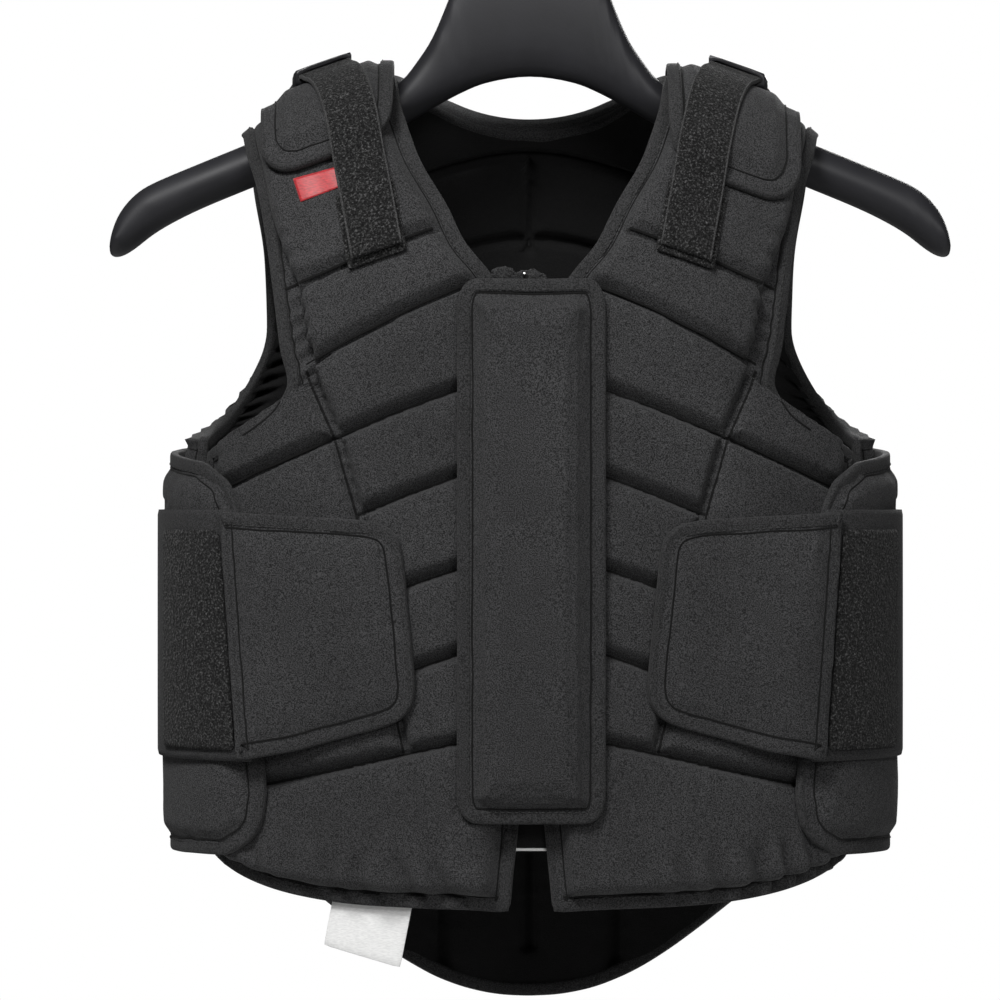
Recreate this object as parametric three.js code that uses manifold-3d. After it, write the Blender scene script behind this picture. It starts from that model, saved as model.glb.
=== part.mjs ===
// An equestrian body protector, hanging on a clothes hanger.
// Millimetres, +Z up. The origin is the inner crest of the hanger's hook, and the front faces -Y.
// Left and right are the wearer's: the left half has positive X.
import * as THREE from 'three';
import { mergeVertices } from 'three/addons/utils/BufferGeometryUtils.js';
import Module from 'manifold-3d';

const wasm = await Module();
wasm.setup();

// Body that the vest is shaped around
const CHEST_WIDTH = 346; // inside of the panels, side to side
const FRONT_DEPTH = 76; // middle of the shoulder to the inside of the chest
const BACK_DEPTH = 78; // middle of the shoulder to the inside of the back
const ROLL_DROP = 150; // height over which a shoulder rounds into the chest
const SHOULDER_LEVEL = -126; // shoulder ridge on the centre line, below the hook
const SHOULDER_SLOPE = 0.42; // fall of the ridge for each millimetre outward
const SHOULDER_BEND = 40; // half width over which the two slopes meet
const SQUARENESS = 2.6; // exponent of the chest's ring, 2 is an ellipse
const ROUNDNESS = 1.8; // exponent of the shoulder's roll, 2 is an ellipse

// Vest
const FRONT_LENGTH = 450; // ridge to the hem, at the zip
const BACK_LENGTH = 514; // ridge to the lowest point of the tail
const SIDE_LENGTH = 365; // ridge to the hem, at the side
const NECK_DROP = 131; // ridge to the bottom of the front neckline
const NECK_HALF = 78; // half the neck opening on the ridge
const BACK_NECK_DROP = 42; // ridge to the bottom of the back neckline
const ARMHOLE_DROP = 150; // ridge to the bottom of the armhole, at the side
const ZIP_GAP = 10; // between the two fronts
const HEM_GAP = 25; // between the two fronts at the hem
const HEM_SPLIT = 0.72; // way down from the neck where the two fronts start to part
const BELLY = 1; // how far the front hem sags between its ends
const CREASE_OFFSET = 47; // from the centre to a crease of the tail
const FOAM_THICKNESS = 14;
const RIM_THICKNESS = 4; // bound edge of a foam panel
const RIM_WIDTH = 7;
const RIM_ROLL = 6; // width over which foam swells beside the rim
const SEAM_DEPTH = 6;
const SEAM_WIDTH = 9;
const LAYER_GAP = 0.5; // clearance between two layers of cloth
const SEAM_GAP = 0.6; // clearance where front and back meet on the ridge
const SHOULDER_TAPER = 70; // way down from the ridge over which the foam fills out

// Wings, belts and tabs
const WING_THICKNESS = 7.5;
const TRIM_THICKNESS = 3; // bound edge of a thin padded piece
const BELT_THICKNESS = 2.5;
const BELT_TOP = -371;
const BELT_HEIGHT = 129;
const PATCH_THICKNESS = 1.2;
const TAB_THICKNESS = 5;
const SLOT_HEIGHT = 6; // opening of the wing above the belt
const SLOT_REACH = 46; // half the length of that opening, front to back

// Shoulder pads and straps
const PAD_CENTRE = 107.5; // from the centre line
const PAD_WIDTH = 70;
const PAD_DROPS = { left: 61, right: 48 }; // ridge to the front end of each pad
const PAD_BACK = 60; // ridge to the back end of a pad
const PAD_THICKNESS = 7;
const STRAP_TOP_AT = 112; // from the centre line, at the ridge
const STRAP_END_AT = 79; // from the centre line, at the front end
const STRAP_WIDTH = 25;
const STRAP_THICKNESS = 2;
const STRAP_DROP = 102; // ridge to the front end of a strap
const SLIDER_AT = 5; // way in front of the ridge
const SLIDER_LENGTH = 8;
const SLIDER_BAR = 2;
const PATCH_MARGIN = 2.5; // loop patch beyond the strap on it

// Placket, zip and labels
const PLACKET_WIDTH = 74;
const PLACKET_LENGTH = 273;
const PLACKET_TOP = -257;
const PLACKET_THICKNESS = 11;
const ZIP_THICKNESS = 3;
const PULL_WIDTH = 9;
const PULL_LENGTH = 6;
const GUARD_WIDTH = 60;
const ZIP_END = 0.84; // way down the fronts where the zip ends
const GUARD_END = 0.9; // way down the fronts where its guard ends
const GUARD_THICKNESS = 1.8;
const EDGE_HEIGHT = 1.4; // light edge of the strip behind the zip
const LABEL_THICKNESS = 0.8;
const CHEST_LABEL_WIDTH = 49;
const CHEST_LABEL_HEIGHT = 14;
const CHEST_LABEL_DROP = 42; // ridge to the top of the chest label
const CARE_WIDTH = 41;
const CARE_LENGTH = 47;
const CARE_LEFT = -98; // its upper left corner
const CARE_RISE = 26; // its upper left corner above the hem at the zip
const CARE_LEAN = 0.27; // how far it turns from upright, in radians

// Hanger
const HANGER_SPAN = 448;
const HANGER_ARM = 25; // height of an arm
const HANGER_DEPTH = 24;
const HANGER_EDGE = 8; // rounding of its long edges
const HANGER_SEAT = 1.3; // crest of an arm below the ridge of the vest
const TIP_LENGTH = 24; // rounded end of an arm
const ARCH_RISE = 13; // the underside of the neck over the line of the arms
const NECK_TOP = -72;
const HOOK_WIRE = 5;
const HOOK_RADIUS = 22; // inside of the hook

const QUARTER = Math.PI / 2;
const mix = (from, to, share) => from + (to - from) * share;
const clamp01 = (value) => Math.min(Math.max(value, 0), 1);
const FRONT = -1;
const BACK = 1;

// Colours of the cloth and the hard pieces
const finish = (colour, roughness, metalness = 0) =>
  new THREE.MeshStandardMaterial({ color: colour, roughness, metalness });
const CLOTH = finish(0x26272a, 0.85);
const LOOP_PILE = finish(0x1b1b1d, 0.97);
const WEBBING = finish(0x202022, 0.9);
const HARD_PLASTIC = finish(0x2b2c31, 0.35);
const RED_CLOTH = finish(0xc4262c, 0.6);
const WHITE_SATIN = finish(0xf2f1ee, 0.45);
const STEEL = finish(0xb9bcc0, 0.3, 0.9);

// Height of the shoulder ridge at a place across the vest
function ridge(x) {
  return SHOULDER_LEVEL + SHOULDER_SLOPE * (SHOULDER_BEND - Math.hypot(x, SHOULDER_BEND));
}

// Share of the full depth that the shoulder's roll has reached at a drop below the ridge
function rollShare(drop) {
  const share = Math.min(Math.max(drop / ROLL_DROP, 0), 1);
  return (1 - (1 - share) ** ROUNDNESS) ** (1 / ROUNDNESS);
}

// Way down the skin that belongs to a drop, and the other way round. It is even on the roll.
const ROLL_ARC = Math.hypot(FRONT_DEPTH, ROLL_DROP) * 1.1;

function arcOf(drop) {
  if (drop >= ROLL_DROP) return ROLL_ARC + drop - ROLL_DROP;
  const left = 1 - Math.max(0, drop) / ROLL_DROP;
  return ROLL_ARC * Math.acos(left ** (ROUNDNESS / 2)) / QUARTER;
}

function dropOf(arc) {
  if (arc >= ROLL_ARC) return arc - ROLL_ARC + ROLL_DROP;
  return ROLL_DROP * (1 - Math.cos(Math.max(0, arc) / ROLL_ARC * QUARTER) ** (2 / ROUNDNESS));
}

// Thickness of a foam panel at a way down from the ridge
function foamAt(arc) {
  return mix(RIM_THICKNESS, FOAM_THICKNESS, clamp01(Math.abs(arc) / SHOULDER_TAPER));
}

// A point of the body's skin. turn counts quarters round the body: 0 front, 1 left side, 2 back.
function skin(turn, drop, offset, seam = SEAM_GAP / 2) {
  const sine = Math.sin(turn * QUARTER);
  const cosine = Math.cos(turn * QUARTER);
  const across = Math.sign(sine) * Math.abs(sine) ** (2 / SQUARENESS);
  const along = Math.abs(cosine) ** (2 / SQUARENESS);
  const facing = cosine >= 0 ? FRONT : BACK;
  const depth = (facing === FRONT ? FRONT_DEPTH : BACK_DEPTH) + offset;
  const roll = rollShare(drop);
  const crest = ridge(across * CHEST_WIDTH / 2) + offset * Math.sqrt(1 - roll * roll);
  return new THREE.Vector3(
    across * (CHEST_WIDTH / 2 + offset),
    facing * (seam + depth * roll * (1 - (1 - along) * roll)),
    crest - drop,
  );
}

// The turn at which the skin at an offset reaches a place across the vest
function turnAt(x, offset, facing = FRONT) {
  const share = Math.min(1, Math.abs(x) / (CHEST_WIDTH / 2 + offset));
  const turn = Math.asin(share ** (SQUARENESS / 2)) / QUARTER;
  return Math.sign(x) * (facing === FRONT ? turn : 2 - turn);
}

// A point at a height below the shoulders, where the body is upright
function girdle(turn, height, offset) {
  const sine = Math.sin(turn * QUARTER);
  const across = Math.sign(sine) * Math.abs(sine) ** (2 / SQUARENESS);
  return skin(turn, ridge(across * CHEST_WIDTH / 2) - height, offset);
}

// A point over the shoulder: a positive arc is on the front and a negative one on the back
function overShoulder(x, arc, offset) {
  const facing = arc >= 0 ? FRONT : BACK;
  const fall = dropOf(Math.abs(arc));
  const seam = SEAM_GAP / 2 * Math.min(1, Math.abs(arc) / RIM_WIDTH);
  return skin(turnAt(x, offset, facing), fall, offset, seam);
}

// Rows between the rows of a table, so that none is further apart than the step there
function fillRows(table, columns, step, lengthOf) {
  const rows = [];
  for (let i = 0; i + 1 < table.length; i += 1) {
    const count = Math.max(1, Math.ceil(lengthOf(table[i], table[i + 1]) / step(table[i]) - 0.1));
    for (let k = 0; k < count; k += 1) {
      const row = {};
      for (const name of columns) row[name] = mix(table[i][name], table[i + 1][name], k / count);
      rows.push(row);
    }
  }
  rows.push({ ...table[table.length - 1] });
  return rows;
}

// Shares of a line of this length: its rims and rolls, and even cells between them
function stations(length, cells) {
  const edge = Math.min(RIM_WIDTH / length, 0.2);
  const swell = Math.min((RIM_WIDTH + RIM_ROLL) / length, 0.38);
  const shares = [0, edge];
  for (let i = 0; i <= cells; i += 1) shares.push(mix(swell, 1 - swell, i / cells));
  shares.push(1 - edge, 1);
  return shares;
}

// The places on a line at given shares of its length
function walk(line, shares) {
  const samples = 32;
  const lengths = [0];
  let last = line(0);
  for (let i = 1; i <= samples; i += 1) {
    const next = line(i / samples);
    lengths.push(lengths[i - 1] + next.distanceTo(last));
    last = next;
  }
  const total = lengths[samples];
  return shares.map((share) => {
    const goal = share * total;
    let i = 1;
    while (i < samples && lengths[i] < goal) i += 1;
    const part = (goal - lengths[i - 1]) / (lengths[i] - lengths[i - 1]);
    return (i - 1 + clamp01(part)) / samples;
  });
}

// A closed geometry from an outer and an inner grid of points
function closedWall(outer, inner) {
  const rows = outer.length;
  const columns = outer[0].length;
  const points = [...outer.flat(), ...inner.flat()];
  const near = (i, j) => i * columns + j;
  const far = (i, j) => rows * columns + i * columns + j;
  const faces = [];
  const quad = (a, b, c, d) => faces.push(a, b, c, a, c, d);
  for (let i = 0; i + 1 < rows; i += 1) {
    for (let j = 0; j + 1 < columns; j += 1) {
      quad(near(i, j), near(i + 1, j), near(i + 1, j + 1), near(i, j + 1));
      quad(far(i, j), far(i, j + 1), far(i + 1, j + 1), far(i + 1, j));
    }
    quad(near(i, 0), far(i, 0), far(i + 1, 0), near(i + 1, 0));
    const end = columns - 1;
    quad(near(i, end), near(i + 1, end), far(i + 1, end), far(i, end));
  }
  for (let j = 0; j + 1 < columns; j += 1) {
    const end = rows - 1;
    quad(near(0, j), near(0, j + 1), far(0, j + 1), far(0, j));
    quad(near(end, j), far(end, j), far(end, j + 1), near(end, j + 1));
  }
  return closedGeometry(points, faces);
}

// Geometry whose faces point outward whichever way the points ran
function closedGeometry(points, faces) {
  let volume = 0;
  for (let i = 0; i < faces.length; i += 3) {
    const [a, b, c] = [points[faces[i]], points[faces[i + 1]], points[faces[i + 2]]];
    volume += a.dot(new THREE.Vector3().crossVectors(b, c));
  }
  if (volume < 0) faces.reverse();
  const geometry = new THREE.BufferGeometry();
  geometry.setAttribute('position', new THREE.Float32BufferAttribute(points.flatMap((p) => p.toArray()), 3));
  geometry.setIndex(faces);
  return geometry;
}

// Moves the nearest inner station to each knot, so that a corner of the line keeps its place
function snapTo(shares, knots, line, length) {
  const snapped = [...shares];
  for (const knot of knots) {
    const goal = lineLength(line, knot) / length;
    let nearest = 2;
    for (let j = 2; j < shares.length - 2; j += 1) {
      if (Math.abs(shares[j] - goal) < Math.abs(shares[nearest] - goal)) nearest = j;
    }
    snapped[nearest] = goal;
  }
  return snapped;
}

// A padded wall. Each row is a line(share, offset) across the piece, with its distance to the
// nearest end row in edge, its full thickness at a share in thick, and in knots the places where
// it turns a corner. The wall swells from the rim to that thickness away from its edges.
function paddedWall(rows, { base, rim, cells }) {
  const outer = [];
  const inner = [];
  for (const row of rows) {
    const line = (share) => row.line(share, base + row.thick(share));
    const length = lineLength(line);
    const shares = snapTo(stations(length, cells), row.knots ?? [], line, length);
    const places = walk(line, shares);
    outer.push(places.map((place, j) => {
      const inward = Math.min(shares[j], 1 - shares[j]) * length;
      const swell = clamp01((Math.min(inward, row.edge) - RIM_WIDTH) / RIM_ROLL);
      return row.line(place, base + mix(rim, Math.max(rim, row.thick(place)), swell));
    }));
    inner.push(places.map((place) => row.line(place, base)));
  }
  return closedWall(outer, inner);
}

// A wall of one thickness
function evenWall(rows, { base, thickness, cells }) {
  const outer = [];
  const inner = [];
  for (const row of rows) {
    const shares = Array.from({ length: cells + 1 }, (_, i) => i / cells);
    const places = walk((share) => row.line(share, base + thickness), shares);
    outer.push(places.map((place) => row.line(place, base + thickness)));
    inner.push(places.map((place) => row.line(place, base)));
  }
  return closedWall(outer, inner);
}

function lineLength(line, end = 1) {
  const samples = 16;
  let length = 0;
  for (let i = 0; i < samples; i += 1) {
    length += line(end * i / samples).distanceTo(line(end * (i + 1) / samples));
  }
  return length;
}

// Rows with rim rows added beside the first and the last one
function withRims(table, columns, step, lengthOf, { first = true, last = true } = {}) {
  const rows = fillRows(table, columns, step, lengthOf);
  let total = 0;
  rows[0].at = 0;
  for (let i = 1; i < rows.length; i += 1) {
    total += lengthOf(rows[i - 1], rows[i]);
    rows[i].at = total;
  }
  const sample = (at) => {
    let i = 1;
    while (i < rows.length - 1 && rows[i].at < at) i += 1;
    const share = (at - rows[i - 1].at) / (rows[i].at - rows[i - 1].at);
    const row = { at };
    for (const name of columns) row[name] = mix(rows[i - 1][name], rows[i][name], share);
    return row;
  };
  const wide = Math.min(RIM_WIDTH, total * 0.2);
  const swell = Math.min(RIM_WIDTH + RIM_ROLL, total * 0.38);
  const start = first ? [rows[0], sample(wide), sample(swell)] : [rows[0]];
  const finishRows = last
    ? [sample(total - swell), sample(total - wide), rows[rows.length - 1]]
    : [rows[rows.length - 1]];
  const low = first ? swell : 0;
  const high = last ? total - swell : total;
  const room = RIM_ROLL * 0.7;
  const middle = rows.filter((row) => (!first || row.at > low + room) && (!last || row.at < high - room));
  const all = [...start, ...middle, ...finishRows];
  for (const row of all) {
    row.edge = Math.min(first ? row.at : Infinity, last ? total - row.at : Infinity);
  }
  return all;
}

// The same shape with its doubled corners joined
function weld(geometry) {
  geometry.deleteAttribute('normal');
  geometry.deleteAttribute('uv');
  return mergeVertices(geometry, 1e-4);
}

// Solids for cutting
function toSolid(geometry) {
  return new wasm.Manifold(new wasm.Mesh({
    numProp: 3,
    vertProperties: new Float32Array(geometry.attributes.position.array),
    triVerts: new Uint32Array(geometry.index.array),
  }));
}

function toGeometry(solid) {
  const mesh = solid.getMesh();
  const geometry = new THREE.BufferGeometry();
  geometry.setAttribute('position', new THREE.BufferAttribute(mesh.vertProperties, 3));
  geometry.setIndex(new THREE.BufferAttribute(mesh.triVerts, 1));
  return geometry;
}

// A V-shaped cutter along a line that lies on a face. line(share, lift) gives its points.
function seamCutter(line, steps, depth = SEAM_DEPTH, width = SEAM_WIDTH) {
  const lift = 2;
  const points = [];
  for (let i = 0; i <= steps; i += 1) {
    const share = i / steps;
    const middle = line(share, 0);
    const out = line(share, 1).sub(middle).normalize();
    const ahead = line(Math.min(1, share + 0.02), 0).sub(line(Math.max(0, share - 0.02), 0));
    const side = new THREE.Vector3().crossVectors(ahead, out).normalize();
    const half = width / 2 * (1 + lift / depth);
    points.push(middle.clone().addScaledVector(out, lift).addScaledVector(side, half));
    points.push(middle.clone().addScaledVector(out, lift).addScaledVector(side, -half));
    points.push(middle.clone().addScaledVector(out, -depth));
  }
  const faces = [0, 1, 2];
  for (let i = 0; i < steps; i += 1) {
    for (let k = 0; k < 3; k += 1) {
      const a = i * 3 + k;
      const b = i * 3 + (k + 1) % 3;
      faces.push(a, a + 3, b + 3, a, b + 3, b);
    }
  }
  const last = steps * 3;
  faces.push(last, last + 2, last + 1);
  return closedGeometry(points, faces);
}

function cutSeams(geometry, cutters) {
  let solid = toSolid(geometry);
  for (const cutter of cutters) solid = solid.subtract(toSolid(cutter));
  return toGeometry(solid);
}

const group = new THREE.Group();
function add(name, geometry, material) {
  const mesh = new THREE.Mesh(geometry, material);
  mesh.name = name;
  group.add(mesh);
}
const SIDES = [{ name: 'left', sign: 1 }, { name: 'right', sign: -1 }];

// Front panels. neck and arm are the edges as shares of the half width, neckDrop and armDrop
// how far down each row meets them, as shares of the front's and the side's lengths.
const FRONT_HALF = CHEST_WIDTH / 2 + FOAM_THICKNESS;
const ZIP_EDGE = ZIP_GAP / 2 / FRONT_HALF;
const NECK_EDGE = NECK_HALF / FRONT_HALF;
const NECKLINE = [
  { drop: 0, out: 1.0 },
  { drop: 0.11, out: 0.955 },
  { drop: 0.37, out: 0.82 },
  { drop: 0.64, out: 0.59 },
  { drop: 0.79, out: 0.475 },
  { drop: 0.92, out: 0.31 },
  { drop: 0.985, out: 0.23 },
];
const FRONT_ARM = [
  { drop: 0, out: 0.87 },
  { drop: 0.08, out: 0.848 },
  { drop: 0.25, out: 0.806 },
  { drop: 0.47, out: 0.773 },
  { drop: 0.67, out: 0.749 },
  { drop: 0.84, out: 0.73 },
  { drop: 0.955, out: 0.706 },
];

function frontRows() {
  const rows = NECKLINE.map((neck, i) => ({
    neckArc: arcOf(neck.drop * NECK_DROP),
    neck: mix(0, NECK_EDGE, neck.out),
    armArc: arcOf(FRONT_ARM[i].drop * ARMHOLE_DROP),
    arm: FRONT_ARM[i].out,
    belly: 0,
  }));
  const under = [
    { down: 0.005, arm: 0.745, armDown: 0.012 },
    { down: 0.05, arm: 0.86, armDown: 0.035 },
    { down: 0.11, arm: 0.96, armDown: 0.05 },
    { down: 0.3, arm: 0.96, armDown: 0.22 },
    { down: HEM_SPLIT, arm: 0.96, armDown: HEM_SPLIT },
    { down: 1, arm: 0.96, armDown: 1 },
  ];
  for (const row of under) {
    const opening = clamp01((row.down - HEM_SPLIT) / (1 - HEM_SPLIT));
    rows.push({
      neckArc: arcOf(mix(NECK_DROP, FRONT_LENGTH, row.down)),
      neck: mix(ZIP_EDGE, HEM_GAP / 2 / FRONT_HALF, opening),
      armArc: arcOf(mix(ARMHOLE_DROP, SIDE_LENGTH, row.armDown)),
      arm: row.arm,
      belly: BELLY * row.down,
    });
  }
  return rows;
}

const ROLL_STEP = 12; // between rows near the ridge
const ROW_STEP = 45; // between rows on the upright chest
const rowStep = (arc) => {
  if (arc < SHOULDER_TAPER) return ROLL_STEP;
  return arc < ROLL_ARC ? ROLL_STEP * 2 : ROW_STEP;
};
const frontTable = withRims(
  frontRows(),
  ['neckArc', 'neck', 'armArc', 'arm', 'belly'],
  (row) => rowStep(row.neckArc),
  (a, b) => Math.max(1, (b.neckArc - a.neckArc + b.armArc - a.armArc) / 2),
  { first: false },
);
const turnOf = (share) => Math.asin(share ** (SQUARENESS / 2)) / QUARTER;

function frontLine(row, sign) {
  return (share, offset) => skin(
    sign * mix(turnOf(row.neck), turnOf(row.arm), share),
    dropOf(mix(row.neckArc, row.armArc, share) + row.belly * 4 * share * (1 - share)),
    offset,
  );
}

// Seams of the foam blocks. Each runs at one drop below the ridge, which makes the chevrons.
// The drops are shares of the front's length, the ends are shares of the half width.
const CHEVRONS = [
  { from: 0.27, to: 0.7, drop: 0.216, fall: 0.226, wide: 0.8 },
  { from: 0.16, to: 0.62, drop: 0.284, fall: 0.312, wide: 1.25 },
  { from: 0.16, to: 0.54, drop: 0.396, fall: 0.405, wide: 1 },
  { from: 0.16, to: 0.48, drop: 0.494, fall: 0.502, wide: 1 },
  { from: 0.16, to: 0.43, drop: 0.6, fall: 0.604, wide: 1 },
  { from: 0.16, to: 0.4, drop: 0.696, fall: 0.702, wide: 1 },
  { from: 0.16, to: 0.78, drop: 0.8, fall: 0.768, wide: 1.25 },
];
const UPRIGHTS = [
  { from: 0.62, to: 0.54, drop: 0.318, fall: 0.405 },
  { from: 0.54, to: 0.48, drop: 0.405, fall: 0.502 },
  { from: 0.48, to: 0.35, drop: 0.502, fall: 0.79 },
  { from: 0.54, to: 0.86, drop: 0.405, fall: 0.415 },
];
const SEAM_STEP = 30;

function seamOnFront(seam, sign, face = FOAM_THICKNESS) {
  const line = (share, lift) => skin(
    sign * mix(turnOf(seam.from), turnOf(seam.to), share),
    mix(seam.drop, seam.fall, share) * FRONT_LENGTH,
    face + lift,
  );
  const width = SEAM_WIDTH * (seam.wide ?? 1);
  const steps = Math.ceil(lineLength((share) => line(share, 0)) / SEAM_STEP);
  return seamCutter(line, steps, SEAM_DEPTH, width);
}

for (const side of SIDES) {
  const rows = frontTable.map((row) => ({
    edge: row.edge,
    thick: (share) => foamAt(mix(row.neckArc, row.armArc, share)),
    line: frontLine(row, side.sign),
  }));
  const panel = paddedWall(rows, { base: 0, rim: RIM_THICKNESS, cells: 6 });
  const cutters = [...CHEVRONS, ...UPRIGHTS].map((seam) => seamOnFront(seam, side.sign));
  add(`front_panel_${side.name}`, cutSeams(panel, cutters), CLOTH);
}

// Back panel. arm is the edge as a share of the half width, armDrop a share of the armhole's drop
// and then of the side below it, notch how much of the neck's dip the row follows.
const BACK_ROWS = [
  { centre: 0, armDrop: 0, arm: 0.87, notch: 1 },
  { centre: 0.04, armDrop: 0.2, arm: 0.845, notch: 0.9 },
  { centre: 0.1, armDrop: 0.45, arm: 0.817, notch: 0.6 },
  { centre: 0.16, armDrop: 0.7, arm: 0.812, notch: 0.3 },
  { centre: 0.22, armDrop: 0.85, arm: 0.866, notch: 0 },
  { centre: 0.26, armDrop: 0.94, arm: 0.935, notch: 0 },
  { centre: 0.3, armDrop: 1, arm: 0.9999, notch: 0 },
];
const TAIL_SHAPE = 1.4; // exponent of the tail's curve
const NECK_SHAPE = 0.62; // exponent of the back neckline's curve

const backTable = withRims(
  [
    ...BACK_ROWS.map((row) => ({
      centre: arcOf(mix(BACK_NECK_DROP, BACK_LENGTH, row.centre)),
      armArc: arcOf(row.armDrop * ARMHOLE_DROP),
      arm: row.arm,
      notch: row.notch,
    })),
    { centre: arcOf(BACK_LENGTH), armArc: arcOf(SIDE_LENGTH), arm: 0.9999, notch: 0 },
  ],
  ['centre', 'armArc', 'arm', 'notch'],
  (row) => rowStep(row.armArc),
  (a, b) => Math.max(1, b.centre - a.centre, b.armArc - a.armArc),
  { first: false },
);

function backDrop(row, turn) {
  const across = Math.abs(Math.sin(turn * QUARTER)) ** (2 / SQUARENESS);
  const dip = clamp01(1 - (across * FRONT_HALF / NECK_HALF) ** 2) ** NECK_SHAPE;
  const tail = Math.cos(clamp01(across / row.arm) * QUARTER) ** TAIL_SHAPE;
  return dropOf(mix(row.armArc, row.centre, mix(tail, dip, row.notch)));
}

function backLine(row) {
  const reach = 1 - turnOf(row.arm);
  const turnFor = (share) => mix(1 + reach, 3 - reach, share);
  const corner = (2 - turnAt(NECK_HALF, 0, BACK)) / (2 - 2 * reach);
  return {
    edge: row.edge,
    knots: [0.5 - corner, 0.5 + corner],
    thick: (share) => foamAt(arcOf(backDrop(row, turnFor(share)))),
    line: (share, offset) => skin(turnFor(share), backDrop(row, turnFor(share)), offset),
  };
}

const BACK_SEAMS = [0.19, 0.32, 0.45, 0.58, 0.7]; // drops, as shares of the back's length
const BACK_SEAM_REACH = 0.55; // turns to each side of the centre
const INNER_SEAMS = [0.105, 0.19];

function backChevron(drop, reach, face, inward) {
  const line = (share, lift) => skin(
    2 + mix(-reach, reach, share),
    drop * BACK_LENGTH,
    face + (inward ? -lift : lift),
  );
  return seamCutter(line, Math.ceil(reach * 20), SEAM_DEPTH * (inward ? 0.6 : 1));
}

function backUpright(across, from, to, face, inward) {
  const turn = turnAt(across, face, BACK);
  const line = (share, lift) => skin(
    turn,
    mix(from, to, share) * BACK_LENGTH,
    face + (inward ? -lift : lift),
  );
  return seamCutter(line, 4, SEAM_DEPTH * (inward ? 0.6 : 1));
}

const backPanel = paddedWall(backTable.map(backLine), { base: 0, rim: RIM_THICKNESS, cells: 10 });
add('back_panel', cutSeams(backPanel, [
  ...BACK_SEAMS.map((drop) => backChevron(drop, BACK_SEAM_REACH, FOAM_THICKNESS, false)),
  ...INNER_SEAMS.map((drop) => backChevron(drop, 0.4, 0, true)),
  backUpright(0.001, 0.19, 0.7, FOAM_THICKNESS, false),
  backUpright(0.001, 0.11, 0.2, 0, true),
  ...[-CREASE_OFFSET, 0.001, CREASE_OFFSET].map((x) => backUpright(x, 0.86, 0.94, 0, true)),
]), CLOTH);

// Ribs of a piece that goes round the body: turn and height of each rib's two ends
function ribRows(table, step, thick, offsetOf = () => 0) {
  const columns = ['top', 'topAt', 'bottom', 'bottomAt'];
  const middle = (rib) => girdle((rib.topAt + rib.bottomAt) / 2, (rib.top + rib.bottom) / 2, 0);
  const rows = withRims(
    table,
    columns,
    () => step,
    (a, b) => middle(a).distanceTo(middle(b)),
  );
  return (sign) => rows.map((rib) => ({
    edge: rib.edge,
    thick: () => thick,
    line: (share, offset) => {
      const turn = mix(rib.topAt, rib.bottomAt, share);
      return girdle(sign * turn, mix(rib.top, rib.bottom, share), offset + offsetOf(turn));
    },
  }));
}

// Side wings: from the rounded front edge round the side to the back.
// Heights are shares of the belt's height above and below the belt's top.
const WING_RIBS = [
  { topAt: 0.525, top: -0.1, bottomAt: 0.457, bottom: -1.13 },
  { topAt: 0.535, top: 0, bottomAt: 0.468, bottom: -1.25 },
  { topAt: 0.575, top: 0.11, bottomAt: 0.497, bottom: -1.315 },
  { topAt: 0.67, top: 0.185, bottomAt: 0.571, bottom: -1.375 },
  { topAt: 1, top: 0.235, bottomAt: 1, bottom: -1.385 },
  { topAt: 1.25, top: 0.26, bottomAt: 1.25, bottom: -1.42 },
  { topAt: 1.46, top: 0.28, bottomAt: 1.46, bottom: -1.47 },
];
const RIB_STEP = 14;
const BAND_STEP = 9; // finer, so that a band clears the piece that it lies on
const WING_BASE = FOAM_THICKNESS + LAYER_GAP;
const beltHeight = (share) => BELT_TOP + share * BELT_HEIGHT;
const inHeights = (table) => table.map((rib) => ({
  ...rib,
  top: beltHeight(rib.top),
  bottom: beltHeight(rib.bottom),
}));
const wingRows = ribRows(inHeights(WING_RIBS), RIB_STEP, WING_THICKNESS);

// The lens-shaped opening of a wing, above its belt
function slotCutter(sign) {
  const lens = new THREE.Shape();
  lens.moveTo(-SLOT_REACH, 0);
  lens.quadraticCurveTo(0, SLOT_HEIGHT * 2, SLOT_REACH, 0);
  lens.lineTo(-SLOT_REACH, 0);
  const depth = (FOAM_THICKNESS + WING_THICKNESS) * 2;
  const geometry = new THREE.ExtrudeGeometry(lens, { depth, bevelEnabled: false, curveSegments: 8 });
  geometry.rotateX(QUARTER);
  geometry.rotateZ(QUARTER);
  geometry.translate(sign * (CHEST_WIDTH / 2 + WING_BASE) - depth / 2, 0, BELT_TOP + LAYER_GAP);
  return weld(geometry);
}

for (const side of SIDES) {
  const wing = paddedWall(wingRows(side.sign), { base: WING_BASE, rim: TRIM_THICKNESS, cells: 3 });
  add(`side_wing_${side.name}`, cutSeams(wing, [slotCutter(side.sign)]), CLOTH);
}

// Belts: flat bands on the wings, from under the tab to the back
const BELT_RIBS = [
  { topAt: 0.5, top: 0, bottomAt: 0.455, bottom: -1 },
  { topAt: 0.8, top: 0, bottomAt: 0.8, bottom: -1 },
  { topAt: 1.42, top: 0, bottomAt: 1.42, bottom: -1 },
];
const BELT_BASE = WING_BASE + WING_THICKNESS + LAYER_GAP;
const PATCH_RIBS = [
  { topAt: 0.545, top: -0.08, bottomAt: 0.497, bottom: -0.955 },
  { topAt: 0.8, top: -0.08, bottomAt: 0.8, bottom: -0.955 },
];
const PATCH_BASE = BELT_BASE + BELT_THICKNESS + LAYER_GAP;
const beltRows = ribRows(inHeights(BELT_RIBS), BAND_STEP, BELT_THICKNESS);
const patchRows = ribRows(inHeights(PATCH_RIBS), BAND_STEP, PATCH_THICKNESS);

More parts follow.
